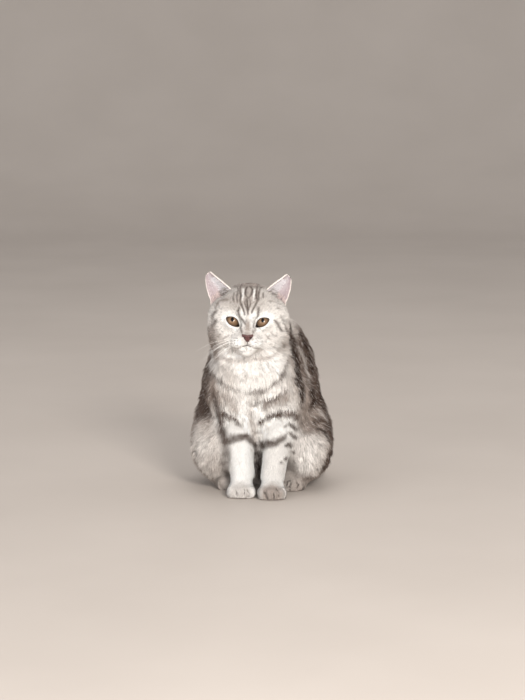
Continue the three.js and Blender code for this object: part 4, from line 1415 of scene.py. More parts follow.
@dataclass
class Skin:
    """One skin over the whole animal, with the folds that the solids leave out."""

    voxel: float = 1.9
    stump: float = 0.04
    paw_share: float = 0.90
    smoothing: int = 26
    ear_dip: float = 5.0
    tail_path: Path = (
        (4.8, 87.5, 40), (14.8, 117.5, 26), (42.8, 127.5, 18), (70.8, 113.5, 17), (86.8, 89.5, 16),
        (88.8, 63.5, 15), (78.8, 41.5, 13),
    )
    surface: Surface = field(init=False)
    region: Array = field(init=False)
    depth: Array = field(init=False)
    growth: Array = field(init=False)
    outer: Array = field(init=False)
    tail_share: Array = field(init=False)
    solids: BVHTree = field(init=False)
    owners: list[str] = field(init=False)

    def shape(self, nodes: dict[str, bpy.types.Object]) -> None:
        """Works out the skin's surface from the frame's solids.

        Args:
            nodes: the frame's CAD nodes by name.
        """
        self._index_solids(nodes)
        surface = self._joined(nodes)
        strength = self._softness(surface.points)
        surface.points = surface.blurred(surface.points, self.smoothing, strength, hold=0.6)
        joint = (1 - ease(np.abs(surface.points[:, 2] - 34), 10, 22)) * (surface.points[:, 1] < -45)
        for _ in range(2):
            hollow = surface.hollows(40, 0.6)
            surface.points = surface.points + surface.normals() * (np.maximum(hollow, 0) * joint)[:, None]
        local = HEAD.local(surface.points)
        swell = np.zeros(len(local))
        for eye in EYES:
            away = np.linalg.norm((local - eye.middle())[:, [0, 2]], axis=1)
            swell = np.maximum(swell, (1 - ease(away, 11, 18)) * (local[:, 1] < -20))
        surface.points = surface.blurred(surface.points, 36, 0.6 * swell)
        surface = self._finer(surface)
        self.surface = surface
        self._assign_regions()
        normals = surface.normals()
        self.outer = surface.points.copy()
        surface.points = surface.points - normals * self.depth[:, None]
        self._sculpt_head()
        self._crease()

    def _index_solids(self, nodes: dict[str, bpy.types.Object]) -> None:
        """Keeps the frame's solids as a search tree, with the node that each face belongs to.

        Args:
            nodes: the frame's CAD nodes by name.
        """
        parts, self.owners = [], []
        for name, node in nodes.items():
            piece = surface_of(node)
            parts.append((piece.points, piece.triangles))
            self.owners += [name] * len(piece.triangles)
        points, faces = gathered(parts)
        self.solids = BVHTree.FromPolygons(points.tolist(), faces.tolist())

    def _joined(self, nodes: dict[str, bpy.types.Object]) -> Surface:
        """Flesh, eyes, nose and ear roots as one closed surface of even triangles.

        Args:
            nodes: the frame's CAD nodes by name.

        Returns:
            The surface.
        """
        parts, middles = [], []
        for name in (*FLESH, "eye_left", "eye_right", "nose"):
            piece = surface_of(nodes[name])
            if name.startswith("forepaw"):
                middle = (piece.points[:, 0].min() + piece.points[:, 0].max()) / 2
                middles.append(middle)
                piece.points[:, 0] = middle + (piece.points[:, 0] - middle) * self.paw_share
            parts.append((piece.points, piece.triangles))
        for ear in EARS:
            parts.append(ear.stump(nodes[sided("ear", ear.side)], self.stump))
        rough = mesh_object("rough", *gathered(parts))
        remesh = rough.modifiers.new("even", "REMESH")
        remesh.mode = "VOXEL"
        remesh.voxel_size = self.voxel * MM
        surface = surface_of(rough).largest()
        bpy.data.objects.remove(rough)
        points = surface.points
        low = (1 - ease(points[:, 2], 24, 32)) * (points[:, 1] < -48)
        off = points[:, :1] - np.array(middles)[None]
        nearest = off[np.arange(len(off)), np.abs(off).argmin(axis=1)]
        points[:, 0] += nearest * low * (0.975 / self.paw_share - 1)
        return surface

    @staticmethod
    def _softness(points: Array) -> Array:
        """How much each point is smoothed: the broad body most, the face, toes and tail least.

        Args:
            points: the points.

        Returns:
            One strength for each.
        """
        local = HEAD.local(points)
        face = 1 - ease(np.linalg.norm(local - np.array([0, -36, -22]), axis=1), 30, 60)
        low = 1 - ease(points[:, 2], 10, 30)
        return 0.62 - 0.34 * np.maximum(face, 0.8 * low)

    @staticmethod
    def _finer(surface: Surface) -> Surface:
        """The surface with smaller triangles on the face and the front paws, and the smallest along the lids.
        """
        for level in range(2):
            local = HEAD.local(surface.points)
            if level == 0:
                wanted = (np.abs(local[:, 0]) < 44) & (local[:, 1] < -20) & (np.abs(local[:, 2] + 16) < 42)
                paws = (surface.points[:, 2] < 26) & (surface.points[:, 1] < -84)
                wanted |= paws
            else:
                wanted = np.zeros(len(local), bool)
                for eye in EYES:
                    index = eye.around(local, 8)
                    wanted[index[np.abs(eye.clearance(local[index])) < 3.5]] = True
            surface = split_triangles(surface, wanted)
        return surface

    def _assign_regions(self) -> None:
        """Gives each point its region, how deep its coat is, and its place along the tail."""
        points = self.surface.points
        local = HEAD.local(points)
        found = np.zeros(len(points), int)
        names = {r.value: i for i, r in enumerate(REGIONS)}
        names |= {n: names["tail"] for n in TAIL_NODES}
        names |= {"nose": names["muzzle"], "eye_left": names["face"], "eye_right": names["face"]}
        names |= {"ear_left": names["head"], "ear_right": names["head"]}
        for i, spot in enumerate(points):
            found[i] = names[self.owners[self.solids.find_nearest(Vector(spot))[2]]]
        front = (local[:, 1] < -12) & (np.abs(local[:, 0]) < 52) & (local[:, 2] > -44)
        found[(found == names["head"]) & front] = names["face"]
        self.region = found
        depths = np.array([STYLES[r].depth for r in REGIONS])[found]
        resting = ease(-self.surface.normals()[:, 2], 0.3, 0.8) * (1 - ease(points[:, 2], 2, 10))
        crown = ease(local[:, 2], 36, 46) * (1 - ease(np.abs(local[:, 0]), 18, 32))
        self.depth = self.surface.blurred(depths, 30) * (1 - 0.9 * resting) * (1 - 0.95 * crown)
        growth = np.array([[STYLES[r].length, STYLES[r].width, STYLES[r].lift] for r in REGIONS])[found]
        self.growth = self.surface.blurred(growth, 30)
        hollow = self.surface.hollows(20)
        hollow = self.surface.blurred(ease(hollow, 0.15, 1.2), 8) * (local[:, 2] < -60)
        self.growth[:, 0] *= 1 - 0.20 * hollow
        ruff = (1 - ease(np.abs(local[:, 2] + 58), 8, 26)) * ease(np.abs(local[:, 0]), 30, 48)
        ruff = ruff * (local[:, 1] < 20) * np.where(local[:, 0] > 0, 0.4, 1.0)
        self.growth[:, 0] += 4.5 * ruff
        self.growth[:, 2] += 5.0 * crown + 10.0 * ruff
        path = smooth_path(self.tail_path, 3.0)
        tree = KDTree(len(path))
        for i, spot in enumerate(path):
            tree.insert(Vector(spot), i)
        tree.balance()
        self.tail_share = np.full(len(points), -1.0)
        for i in np.nonzero(found == names["tail"])[0]:
            self.tail_share[i] = tree.find(Vector(points[i]))[1] / (len(path) - 1)

    def _sculpt_head(self) -> None:
        """Shapes lids over the eyes, a bed for the nose leather, and the mouth's fold."""
        local = HEAD.local(self.surface.points)
        for eye in EYES:
            local = eye.shape_lids(local)
        nose = np.exp(-(((local[:, 0] - 1.3) / 7.0) ** 2) - (((local[:, 2] + 26.6) / 4.4) ** 2))
        local[:, 1] += 2.4 * nose * (local[:, 1] < -44)
        for ear in EARS:
            middle = np.array([ear.side * 40.0, -2.0, 33.0])
            near = bell(np.linalg.norm((local - middle) * np.array([1.0, 0.8, 1.0]), axis=1), 11.0)
            local += self.ear_dip * near[:, None] * unit(np.array([-0.5 * ear.side, 0.45, -0.75]))
        for path in MOUTH:
            local = self._pressed(local, smooth_path(path, 0.8), 1.4, 1.2, np.array([0.0, 1.0, 0.0]))
        self.surface.points = HEAD.place(local)

    def _crease(self) -> None:
        """Presses the clefts between the toes into the paws."""
        for mark in toe_slits():
            line, inward = smooth_path(mark.path, 0.8), np.array([0.0, 0.9, -0.3])
            self.surface.points = self._pressed(self.surface.points, line, 1.8, 2.8, inward)

    @staticmethod
    def _pressed(points: Array, line: Array, width: float, depth: float, way: Array) -> Array:
        """Points pushed along a way where they are close to a line.

        Args:
            points: the points.
            line: the line's points.
            width: how wide the groove is.
            depth: how deep it is.
            way: the way that it is pushed.

        Returns:
            The moved points.
        """
        near = np.full(len(points), np.inf)
        box = np.all((points > line.min(0) - 4 * width - 6) & (points < line.max(0) + 4 * width + 6), axis=1)
        index = np.nonzero(box)[0]
        for spot in line:
            near[index] = np.minimum(near[index], np.linalg.norm(points[index] - spot, axis=1))
        return points + bell(np.maximum(near - 1.0, 0), width)[:, None] * way * depth

    def bare(self, local: Array) -> Array:
        """Where no fur grows: 1 in the eyes' openings and on the nose leather.

        Args:
            local: the roots' places in the head's frame.

        Returns:
            One value for each.
        """
        bare = np.zeros(len(local))
        for eye in EYES:
            index = eye.around(local, 8)
            bare[index] = np.maximum(bare[index], 1 - ease(eye.clearance(local[index]), 0.1, 0.9))
        wide = np.abs(local[:, 0] - 1.3) - (2.3 + 7.6 * ease(local[:, 2], -32, -22.5))
        on_nose = (wide < 0) & (np.abs(local[:, 2] + 26.6) < 5.2) & (local[:, 1] < -46)
        return np.maximum(bare, on_nose)

    def flow(self) -> Array:
        """The way the coat lies at each point of the skin."""
        points, normals = self.surface.points, self.surface.normals()
        local = HEAD.local(points)
        way = np.tile(np.array([0.0, 0.35, -1.0]), (len(points), 1))
        side = ease(np.abs(points[:, 0]), 30, 80)
        way[:, 1] += 0.35 * side
        forward = ease(-normals[:, 1], 0.2, 0.8)[:, None]
        way = blend(way, np.array([0.0, 0.0, -1.0]), forward)
        region = self.region
        kind = {r: i for i, r in enumerate(REGIONS)}
        spread = local - np.array([0.6, -50.0, -24.0])
        spread = unit(spread) + np.array([0.0, 0.0, -0.12])
        behind = ease(local[:, 1], 4, 34)[:, None]
        head_way = blend(HEAD.turned(spread), np.array([0.0, 0.35, -1.0]), behind)
        on_head = np.isin(region, [kind[Region.MUZZLE], kind[Region.FACE], kind[Region.HEAD]])
        way[on_head] = head_way[on_head]
        for index, r in enumerate(REGIONS):
            for part, direction in LIES.items():
                if r.value.startswith(part):
                    way[region == index] = direction
        path = smooth_path(self.tail_path, 3.0)
        along = unit(np.gradient(path, axis=0))
        on_tail = self.tail_share >= 0
        way[on_tail] = along[np.round(self.tail_share[on_tail] * (len(path) - 1)).astype(int)]
        way = flattened(way, normals)
        for _ in range(6):
            way = flattened(self.surface.blurred(way, 5), normals)
        for eye in EYES:
            middle = HEAD.place(eye.middle()[None])[0]
            index = eye.around(local, 12)
            gap = eye.clearance(local[index])
            away = flattened(points[index] - middle, normals[index])
            pull = 2.2 * bell(np.maximum(gap, 0), 4.5)[:, None]
            way[index] = flattened(way[index] + away * pull, normals[index])
        return way

    def build(self, markings: Markings) -> bpy.types.Object:
        """The skin as an object, marked like the coat.

        Args:
            markings: the pattern.

        Returns:
            The object.
        """
        local = HEAD.local(self.surface.points)
        colours = markings.tint(self.outer, self.tail_share)
        rim = np.zeros(len(local))
        for eye in EYES:
            index = eye.around(local, 8)
            gap = eye.clearance(local[index])
            rim[index] = np.maximum(rim[index], 1 - ease(gap, -0.1, 0.8))
        dark = linear((0.24, 0.18, 0.16))
        # the eye rims take the lids' dark skin; the rest of the skin, under the coat, is painted 7 % darker
        # as painted shade beneath the fur
        colours = colours * (0.93 * (1 - rim[:, None])) + dark * rim[:, None]
        obj = mesh_object("skin", self.surface.points, self.surface.triangles)
        paint(obj, colours)
        finish = FurFinish("skin_fur", bump=0.35, fleck_depth=0.3)
        return dressed(obj, finish.material(), "fur_silver", *FLESH)


def split_triangles(surface: Surface, wanted: Array) -> Surface:
    """A surface with each edge between two wanted points halved, and the triangles on it split to match.

    Args:
        surface: the surface.
        wanted: which points are wanted.

    Returns:
        The finer surface.
    """
    edges = surface.edges()
    chosen = wanted[edges[:, 0]] & wanted[edges[:, 1]]
    count = len(surface.points)
    key = edges[:, 0].astype(np.int64) * count + edges[:, 1]
    number = np.where(chosen, count + np.cumsum(chosen) - 1, -1)
    middles = (surface.points[edges[chosen, 0]] + surface.points[edges[chosen, 1]]) / 2
    tri = surface.triangles
    halves = []
    for a, b in ((0, 1), (1, 2), (2, 0)):
        low, high = np.minimum(tri[:, a], tri[:, b]), np.maximum(tri[:, a], tri[:, b])
        halves.append(number[np.searchsorted(key, low.astype(np.int64) * count + high)])
    m = np.stack(halves, axis=1)
    split = (m >= 0).sum(axis=1)
    out = [tri[split == 0]]
    full, middle = tri[split == 3], m[split == 3]
    for corner in range(3):
        out.append(np.stack([full[:, corner], middle[:, corner], middle[:, corner - 1]], 1))
    out.append(middle)
    for start in range(3):
        after, last = (start + 1) % 3, (start + 2) % 3
        one = (split == 1) & (m[:, start] >= 0)
        t, h = tri[one], m[one, start]
        out += [np.stack([t[:, start], h, t[:, last]], 1), np.stack([h, t[:, after], t[:, last]], 1)]
        two = (split == 2) & (m[:, last] < 0)
        t, h, g = tri[two], m[two, start], m[two, after]
        out += [
            np.stack([h, t[:, after], g], 1),
            np.stack([t[:, start], h, g], 1),
            np.stack([t[:, start], g, t[:, last]], 1),
        ]
    return Surface(np.vstack([surface.points, middles]), np.vstack(out))


# -------- coat


PATCH = 0.003  # how much of the bake map one tuft takes
ROOT_DEPTH = 0.35  # how far tufts reach into the skin
FLOOR_GAP = 0.15  # how far tufts stay above the floor


@dataclass
class Tufts:
    """Roots of fur, each with all that its tuft needs."""

    root: Array
    normal: Array
    way: Array
    length: Array
    width: Array
    lift: Array
    colour: Array
    place: Array

    def chosen(self, mask: Array) -> "Tufts":
        """Only the tufts that a mask picks."""
        return Tufts(*(getattr(self, name)[mask] for name in self.__dataclass_fields__))

    def mesh(self, name: str, bends: bool, seed: int) -> bpy.types.Object:
        """The tufts as one object of solid, flattened, tapering locks.

        Args:
            name: the object's name.
            bends: whether each lock has a bend in it, at ten triangles, or is a straight spike of four.
            seed: the seed of the small differences between locks.

        Returns:
            The object, with colours, shading normals and bake map.
        """
        rng = np.random.default_rng(seed)
        count = len(self.root)
        side = np.cross(self.way, self.normal)
        turn = rng.normal(0, 0.16, count)[:, None]
        way = unit(self.way * np.cos(turn) + side * np.sin(turn))
        side = np.cross(way, self.normal)
        length = (self.length * rng.uniform(0.78, 1.15, count))[:, None]
        width = (self.width * rng.uniform(0.8, 1.2, count))[:, None]
        lift = np.radians(self.lift * rng.uniform(0.7, 1.3, count))[:, None]
        base = self.root - self.normal * ROOT_DEPTH
        steep, low = lift * 1.35, lift * 0.92
        middle = self.root + (way * np.cos(steep) + self.normal * np.sin(steep)) * length * 0.45
        tip = self.root + (way * np.cos(low) + self.normal * np.sin(low)) * length
        bow = side * (rng.normal(0, 0.05, count)[:, None] * length)
        middle, tip = middle + bow, tip - bow * 0.4
        rings = [(base, 0.72), (middle, 1.0)] if bends else [(base, 1.0)]
        spots = []
        for spot, share in rings:
            half, thick = width * share / 2, width * share * 0.42
            spots += [spot - side * half, spot + side * half, spot + self.normal * thick]
        spots.append(tip)
        per = len(spots)
        points = np.stack(spots, axis=1)
        points[..., 2] = np.maximum(points[..., 2], FLOOR_GAP)
        corners = [(0, 1, 2)]
        if bends:
            corners += [(0, 3, 1), (1, 3, 4), (1, 4, 2), (2, 4, 5), (2, 5, 0), (0, 5, 3)]
        a, b, c, t = (3, 4, 5, 6) if bends else (0, 1, 2, 3)
        corners += [(a, t, b), (b, t, c), (c, t, a)]
        faces = (np.array(corners)[None] + (np.arange(count) * per)[:, None, None]).reshape(-1, 3)
        obj = mesh_object(name, points.reshape(-1, 3), faces)
        leans = ([-0.55, 0.55, 0.0] * (2 if bends else 1)) + [0.0]
        backs = [1.2] * 3 + [0.5] * (3 * bends) + [0.0]
        pale = ease(self.colour.mean(axis=1), 0.45, 0.8)[:, None]
        calm = 1 - 0.5 * pale
        tilted = self.normal + side * rng.normal(0, 0.15, count)[:, None] * calm
        tilted = tilted + way * rng.normal(0, 0.08, count)[:, None]
        slope = way * np.sin(lift)
        normals = [tilted + side * lean * calm - slope * back for lean, back in zip(leans, backs)]
        set_normals(obj, unit(np.stack(normals, axis=1)).reshape(-1, 3))
        shade = np.array([0.80] * 3 + [0.97] * 3 + [1.04] if bends else [0.84] * 3 + [1.03])[None, :, None]
        value = rng.normal(1.0, 0.08, count)[:, None, None]
        under = (Tone.SILVER.linear() - self.colour)[:, None] * (0.18 * (shade < 0.9))
        under = under * (1 - pale[:, :, None])
        shade = shade + (1 - shade) * 0.65 * pale[:, :, None]
        colours = (self.colour[:, None] + under) * shade * value
        paint(obj, np.clip(colours, 0, 0.95).reshape(-1, 3))
        levels = (0.0, PATCH / 2) if bends else (0.0,)
        patch = [(x, y) for y in levels for x in (-0.0013, 0.0013, 0.0)] + [(0.0, PATCH)]
        places = self.place[:, None] + np.array(patch)[None]
        set_bake_map(obj, places.reshape(-1, 2))
        return obj


@dataclass
class Coat:
    """All the fur that grows from the skin, in pieces of under 200,000 triangles."""

    most: int = 190_000
    clump: float = 7.0
    pull: float = 0.38

    def build(self, skin: Skin, markings: Markings) -> int:
        """Grows the coat.

        Args:
            skin: the skin that it grows from.
            markings: its pattern.

        Returns:
            How many triangles it has.
        """
        lie = (skin.flow(), skin.surface.normals())
        total = 0
        finishes: dict[str, bpy.types.Material] = {}
        for seed, region in enumerate(REGIONS):
            style = STYLES[region]
            tufts = self._sown(skin, markings, region, lie, SEED * 10 + seed)
            if style.bends:
                tufts = self._clumped(tufts, SEED * 20 + seed)
            each = 10 if style.bends else 4
            pieces = max(math.ceil(len(tufts.root) * each / self.most), 1)
            order = np.argsort(tufts.place[:, 0], kind="stable")
            slot = self._slot(region)
            if slot not in finishes:
                finishes[slot] = FurFinish("coat_" + slot).material()
            for n, index in enumerate(np.array_split(order, pieces)):
                name = f"coat_{region.value}" + (f"_{n + 1}" if pieces > 1 else "")
                obj = tufts.chosen(index).mesh(name, style.bends, SEED * 30 + seed * 10 + n)
                dressed(obj, finishes[slot], slot)
                total += len(index) * each
                LOG.info("%s: %d tufts", name, len(index))
        return total

    @staticmethod
    def _slot(region: Region) -> str:
        """The material slot of a region, from which its fur's finish is named.

        Args:
            region: the region.

        Returns:
            The slot's name.
        """
        if region is Region.TAIL:
            return "fur_dark"
        if region in (Region.MUZZLE, Region.FACE, Region.HEAD, Region.TRUNK):
            return "fur_silver"
        return "fur_white"

    def _sown(
        self, skin: Skin, markings: Markings, region: Region, lie: tuple[Array, Array], seed: int
    ) -> Tufts:
        """Roots spread evenly over one region of the skin.

        Args:
            skin: the skin.
            markings: its pattern.
            region: the region.
            lie: the coat's way and the skin's normal at each of its points.
            seed: the seed of the roots' places and colours.

        Returns:
            The roots where fur grows, each with its tuft's sizes and colour.
        """
        style = STYLES[region]
        rng = np.random.default_rng(seed)
        surface = skin.surface
        index = REGIONS.index(region)
        mine = np.nonzero(skin.region[surface.triangles[:, 0]] == index)[0]
        areas = surface.areas()[mine]
        edges = np.cumsum(areas)
        count = int(edges[-1] / style.spacing**2)
        even = (np.arange(count) + rng.random(count)) / count * edges[-1]
        picks = mine[np.searchsorted(edges, even).clip(0, len(mine) - 1)]
        u, v = rng.random(count), rng.random(count)
        over = u + v > 1
        u[over], v[over] = 1 - u[over], 1 - v[over]
        weights = np.stack([1 - u - v, u, v], axis=1)
        corner = surface.triangles[picks]

        def spread(values: Array) -> Array:
            """Values at the roots, from the skin's points."""
            return np.einsum("ij,ij...->i...", weights, values[corner])

        root, normal = spread(surface.points), unit(spread(lie[1]))
        direction = flattened(spread(lie[0]), normal)
        depth = spread(skin.depth)
        grown = spread(skin.growth)
        tail = skin.tail_share[corner[:, 0]]
        local = HEAD.local(root)
        resting = 1 - 0.5 * ease(-normal[:, 2], 0.3, 0.8) * (1 - ease(root[:, 2], 2, 10))
        length = grown[:, 0] * resting
        seen = root + normal * depth[:, None] * 0.9 + direction * (0.5 * length)[:, None]
        colour = markings.tint(seen, np.where(tail < 0, -1.0, np.clip(tail + 0.004, 0, 1)))
        colour = self._ticked(colour, root, direction, style, markings.fine, rng)
        near_eye = np.full(count, 99.0)
        for eye in EYES:
            close = eye.around(local, 10)
            near_eye[close] = np.minimum(near_eye[close], eye.clearance(local[close]))
        length = length * (0.5 + 0.5 * ease(near_eye, 0, 6))
        width = grown[:, 1] * (0.7 + 0.3 * ease(near_eye, 0, 5))
        keep = skin.bare(local) < 0.5
        keep &= ~((normal[:, 2] < -0.75) & (root[:, 2] < 5))
        place = self._unwrapped(skin, region, root, tail)
        tufts = Tufts(root, normal, direction, length, width, grown[:, 2], colour, place)
        return tufts.chosen(keep)

    @staticmethod
    def _ticked(
        colour: Array, root: Array, way: Array, style: CoatStyle, noise: Grain, rng: np.random.Generator
    ) -> Array:
        """Colours in streaks along the coat, with pale hairs in its dark parts and grey ones in its pale.

        Args:
            colour: each root's colour.
            root: the roots.
            way: the way that the coat lies at each.
            style: the region's coat.
            noise: what the streaks follow.
            rng: what the odd hairs are drawn with.

        Returns:
            The changed colours.
        """
        along = np.sum(root * way, axis=1, keepdims=True)
        streak = noise.at(root - 0.82 * way * along, 0.32 * style.length)
        long = ease(np.array([style.length]), 3, 10)[0]
        level = colour.mean(axis=1, keepdims=True)
        dark = 1 - ease(level, 0.18, 0.5)
        mottle = 0.17 * (1 - ease(np.linalg.norm(root - np.array(HEAD.origin), axis=1), 58, 80))[:, None]
        colour = colour * (1 + (0.05 + mottle + 0.20 * long * dark) * streak[:, None])
        pick = rng.random(len(root))[:, None]
        pale = np.where(pick < 0.12, 0.34 * dark * (0.4 + 0.6 * long), 0.0)
        grey = np.where(pick > 0.93, 0.30 * (1 - dark) * (1 - ease(level, 0.62, 0.84)), 0.0)
        colour = colour + (Tone.PEARL.linear() - colour) * pale
        return colour + (Tone.SMOKE.linear() - colour) * grey

    @staticmethod
    def _unwrapped(skin: Skin, region: Region, root: Array, tail: Array) -> Array:
        """Each root's place on a flat map of its region's own shape.

        Args:
            skin: the skin, for the tail's path.
            region: the region.
            root: the roots.
            tail: how far each root is along the tail.

        Returns:
            The places, from 0 to 1: round the tail or a limb and along it, or round a mass and up over it.
        """
        if region is Region.TAIL:
            path = smooth_path(skin.tail_path, 3.0)
            index = np.round(np.clip(tail, 0, 1) * (len(path) - 1)).astype(int)
            across = unit(np.cross(np.gradient(path, axis=0), np.array([0.0, 0.0, 1.0])))[index]
            away = root - path[index]
            flat = np.stack([np.arctan2(away[:, 2], np.sum(away * across, axis=1)), tail], axis=1)
        else:
            away = root - root.mean(axis=0)
            turn = np.arctan2(away[:, 0], -away[:, 1])
            rise = np.arctan2(away[:, 2], np.hypot(away[:, 0], away[:, 1]))
            column = region in (Region.NECK, Region.TRUNK, Region.FORELEG_LEFT, Region.FORELEG_RIGHT)
            flat = np.stack([turn, root[:, 2] if column else rise], axis=1)
        return fitted(flat)

    def _clumped(self, tufts: Tufts, seed: int) -> Tufts:
        """Tufts drawn together at their tips into small locks.

        Args:
            tufts: the tufts.
            seed: the seed of the locks.

        Returns:
            The same tufts, changed.
        """
        rng = np.random.default_rng(seed)
        count = max(len(tufts.root) // 22, 1)
        heads = rng.choice(len(tufts.root), count, replace=False)
        tips = tufts.root + tufts.way * tufts.length[:, None]
        tree = KDTree(count)
        for i, head in enumerate(heads):
            tree.insert(Vector(tips[head]), i)
        tree.balance()
        owner = heads[[tree.find(Vector(tip))[1] for tip in tips]]
        towards = tips[owner] - tips
        gather = towards - tufts.normal * np.sum(towards * tufts.normal, axis=1, keepdims=True)
        far = np.linalg.norm(gather, axis=1, keepdims=True)
        gather = gather * np.minimum(1.0, self.clump / np.maximum(far, 1e-6))
        tufts.way = unit(tufts.way * tufts.length[:, None] + gather * self.pull)
        wave = rng.normal(0, 1, len(tufts.root))[owner]
        tufts.length = tufts.length * np.clip(1 + 0.10 * wave, 0.7, 1.3)
        tufts.lift = tufts.lift * np.clip(1 + 0.14 * rng.normal(0, 1, len(tufts.root))[owner], 0.6, 1.5)
        tufts.colour = tufts.colour * np.clip(1 + 0.08 * wave, 0.8, 1.15)[:, None]
        return tufts


# -------- ears


Hair = Array | float | bool  # a tuft's length, width, lift or colour, or whether it bends


@dataclass
class Ear:
    """One ear: a thin cupped leaf, furred behind, bare and rosy inside, with long hairs at its inner edge."""

    side: int
    root_in: tuple[float, float, float] = (26.0, 4.0, 44.0)
    root_out: tuple[float, float, float] = (54.0, 18.0, 20.0)
    tip: tuple[float, float, float] = (64.5, 11.0, 69.0)
    cup: float = 0.55
    wall: float = 1.9

    def frame(self) -> tuple[Array, Array, Array, Array, float]:
        """The root's middle, the way to the tip, the ways across and forward, and half the root's width."""
        corners = (self.root_in, self.root_out, self.tip)
        ends = [HEAD.place(np.array([[self.side * x, y, z]]))[0] for x, y, z in corners]
        root = (ends[0] + ends[1]) / 2
        rise = ends[2] - root
        across = ends[1] - ends[0]
        half = np.linalg.norm(across) / 2
        across = across / (2 * half)
        forward = unit(np.cross(rise, across))
        return root, rise, across, forward if forward[1] < 0 else -forward, half

    def stump(self, node: bpy.types.Object, height: float) -> tuple[Array, Array]:
        """The root of the frame's ear, cut off just above the head and closed.

        Args:
            node: the ear's CAD node.
            height: where it is cut, as a share of the ear.

        Returns:
            Its points and its triangles.
        """
        root, rise, *_ = self.frame()
        work = bmesh.new()
        work.from_mesh(node.data)
        cut = bmesh.ops.bisect_plane(
            work,
            geom=work.verts[:] + work.edges[:] + work.faces[:],
            plane_co=Vector((root + rise * height) * MM),
            plane_no=Vector(unit(rise)),
            clear_outer=True,
        )
        bmesh.ops.holes_fill(work, edges=[e for e in cut["geom_cut"] if isinstance(e, bmesh.types.BMEdge)])
        bmesh.ops.triangulate(work, faces=work.faces[:])
        work.verts.index_update()
        points = np.array([v.co for v in work.verts]) / MM
        faces = np.array([[v.index for v in f.verts] for f in work.faces])
        work.free()
        return points, faces

    def leaf(self, height: Array, across_share: Array) -> tuple[Array, Array]:
        """Places in the middle of the leaf, with how thick it is there.

        Args:
            height: from 0 at the root to 1 at the tip.
            across_share: from -1 at the inner edge to 1 at the outer.

        Returns:
            The places and the thicknesses.
        """
        root, rise, across, forward, half = self.frame()
        above = np.clip(height, 0, 1)
        hidden = 1 - 0.6 * height**2
        blunt = 1 - ease(1 - above, 0.0, 0.3)
        taper = (1 - above) ** 0.72 * (1 - blunt) + 0.86 * np.sqrt(1 - above) * blunt
        pouch = 1 + 0.12 * bell(above - 0.04, 0.09) - 0.03 * bell(above - 0.2, 0.05)
        inner = half * np.where(height > 0, taper, hidden)
        outer = half * np.where(height > 0, np.sqrt(1 - above**1.5), hidden) * pouch
        wide = np.where(across_share < 0, inner, outer)
        cupped = self.cup * (inner + outer) / 2 * (across_share**2 - 0.5)
        cupped = cupped - 3.0 * bell(height - 0.10, 0.22) * (1 - across_share**2)
        spots = root + rise * (0.98 * height)[:, None] + across * (across_share * wide)[:, None]
        spots = spots + forward * cupped[:, None]
        thick = self.wall * (1.25 - 0.55 * np.clip(height, 0, 1)) * np.maximum(1 - across_share**2, 0) ** 0.35
        return spots, thick

    def build(self, finish: bpy.types.Material, fur: bpy.types.Material) -> None:
        """The leaf, its fur and its long hairs.

        Args:
            finish: the material of the bare inside.
            fur: the material of its hair.
        """
        rows, columns = 52, 44
        height = -0.2 + 1.197 * (1 - (1 - np.linspace(0, 1, rows)) ** 1.4)
        across = np.sin(np.linspace(-math.pi / 2, math.pi / 2, columns))
        grid_h, grid_s = (a.ravel() for a in np.meshgrid(height, across, indexing="ij"))
        *_, forward, _half = self.frame()
        middle, thick = self.leaf(grid_h, grid_s)
        folds = np.zeros(len(middle))
        ridges = ((-0.42, 0.25, 0.8), (-0.05, 0.12, 0.7), (0.34, -0.05, 0.8), (0.62, -0.1, 0.6))
        for place, lean, size in ridges:
            folds += size * bell(grid_s - place - lean * grid_h, 0.085)
        folds *= (1 - ease(grid_h, 0.45, 0.85)) * (1 - grid_s**2)
        front = middle + forward * (thick / 2 + folds)[:, None]
        back = middle - forward * (thick / 2)[:, None]
        points = np.vstack([front, back])
        faces = sheet_faces(rows, columns)
        name = sided("ear", self.side)
        obj = mesh_object(name + "_leaf", points, face_out(points, faces))
        outside = filled(Tone.ASH.linear(), rows * columns)
        paint(obj, np.vstack([self._inside_tint(grid_h, grid_s), outside]))
        dressed(obj, finish, "ear_skin", name)
        self._grow_fur(name, fur)

    @staticmethod
    def _inside_tint(height: Array, across: Array) -> Array:
        """The inside's colour: lilac rose, deeper at the root and the outer edge, cream at the rim, with a
        painted shadow in the pocket's hollow near the root.

        Args:
            height: from 0 at the root to 1 at the tip.
            across: from -1 to 1.

        Returns:
            The colours.
        """
        rose, lilac = linear((0.70, 0.64, 0.645)), linear((0.63, 0.59, 0.60))
        inmost, cream = linear((0.56, 0.48, 0.485)), linear((0.95, 0.90, 0.87))
        mix = ease(height, 0.15, 0.8)[:, None]
        colour = blend(rose, lilac, mix)
        colour = blend(colour, inmost, (1 - ease(height, -0.02, 0.22))[:, None])
        colour = blend(colour, inmost, (ease(across, 0.25, 0.8) * 0.6)[:, None])
        # painted shade: a dark spot low in the outer half, standing in for the shadow in the pocket's hollow
        hollow = 0.85 * np.exp(-(((across - 0.5) / 0.22) ** 2) - (((height - 0.04) / 0.07) ** 2))[:, None]
        colour = blend(colour, linear((0.36, 0.28, 0.28)), hollow)
        rim = np.maximum(ease(np.abs(across), 0.93, 0.99), ease(height, 0.965, 0.99))[:, None]
        return blend(colour, cream, rim)

    def _grow_fur(self, name: str, fur: bpy.types.Material) -> None:
        """Short fur on the back and rim, down inside, and long pale hairs across the inside.

        Args:
            name: the ear's name.
            fur: the hair's material.
        """
        rng = np.random.default_rng(SEED * 7 + self.side)
        root, rise, across, forward, _half = self.frame()
        upward = unit(rise)

        def sown(count: int, low: float, high: float, edge: float) -> tuple[Array, Array]:
            """Random places on the leaf."""
            h = low + (high - low) * rng.random(count) ** 1.15
            return h, rng.uniform(-edge, edge, count)

        def leaning(turn: float, s: Array) -> Array:
            """The inside's normal, turned towards the middle in step with the place across."""
            return unit(forward + across * (turn * s)[:, None])

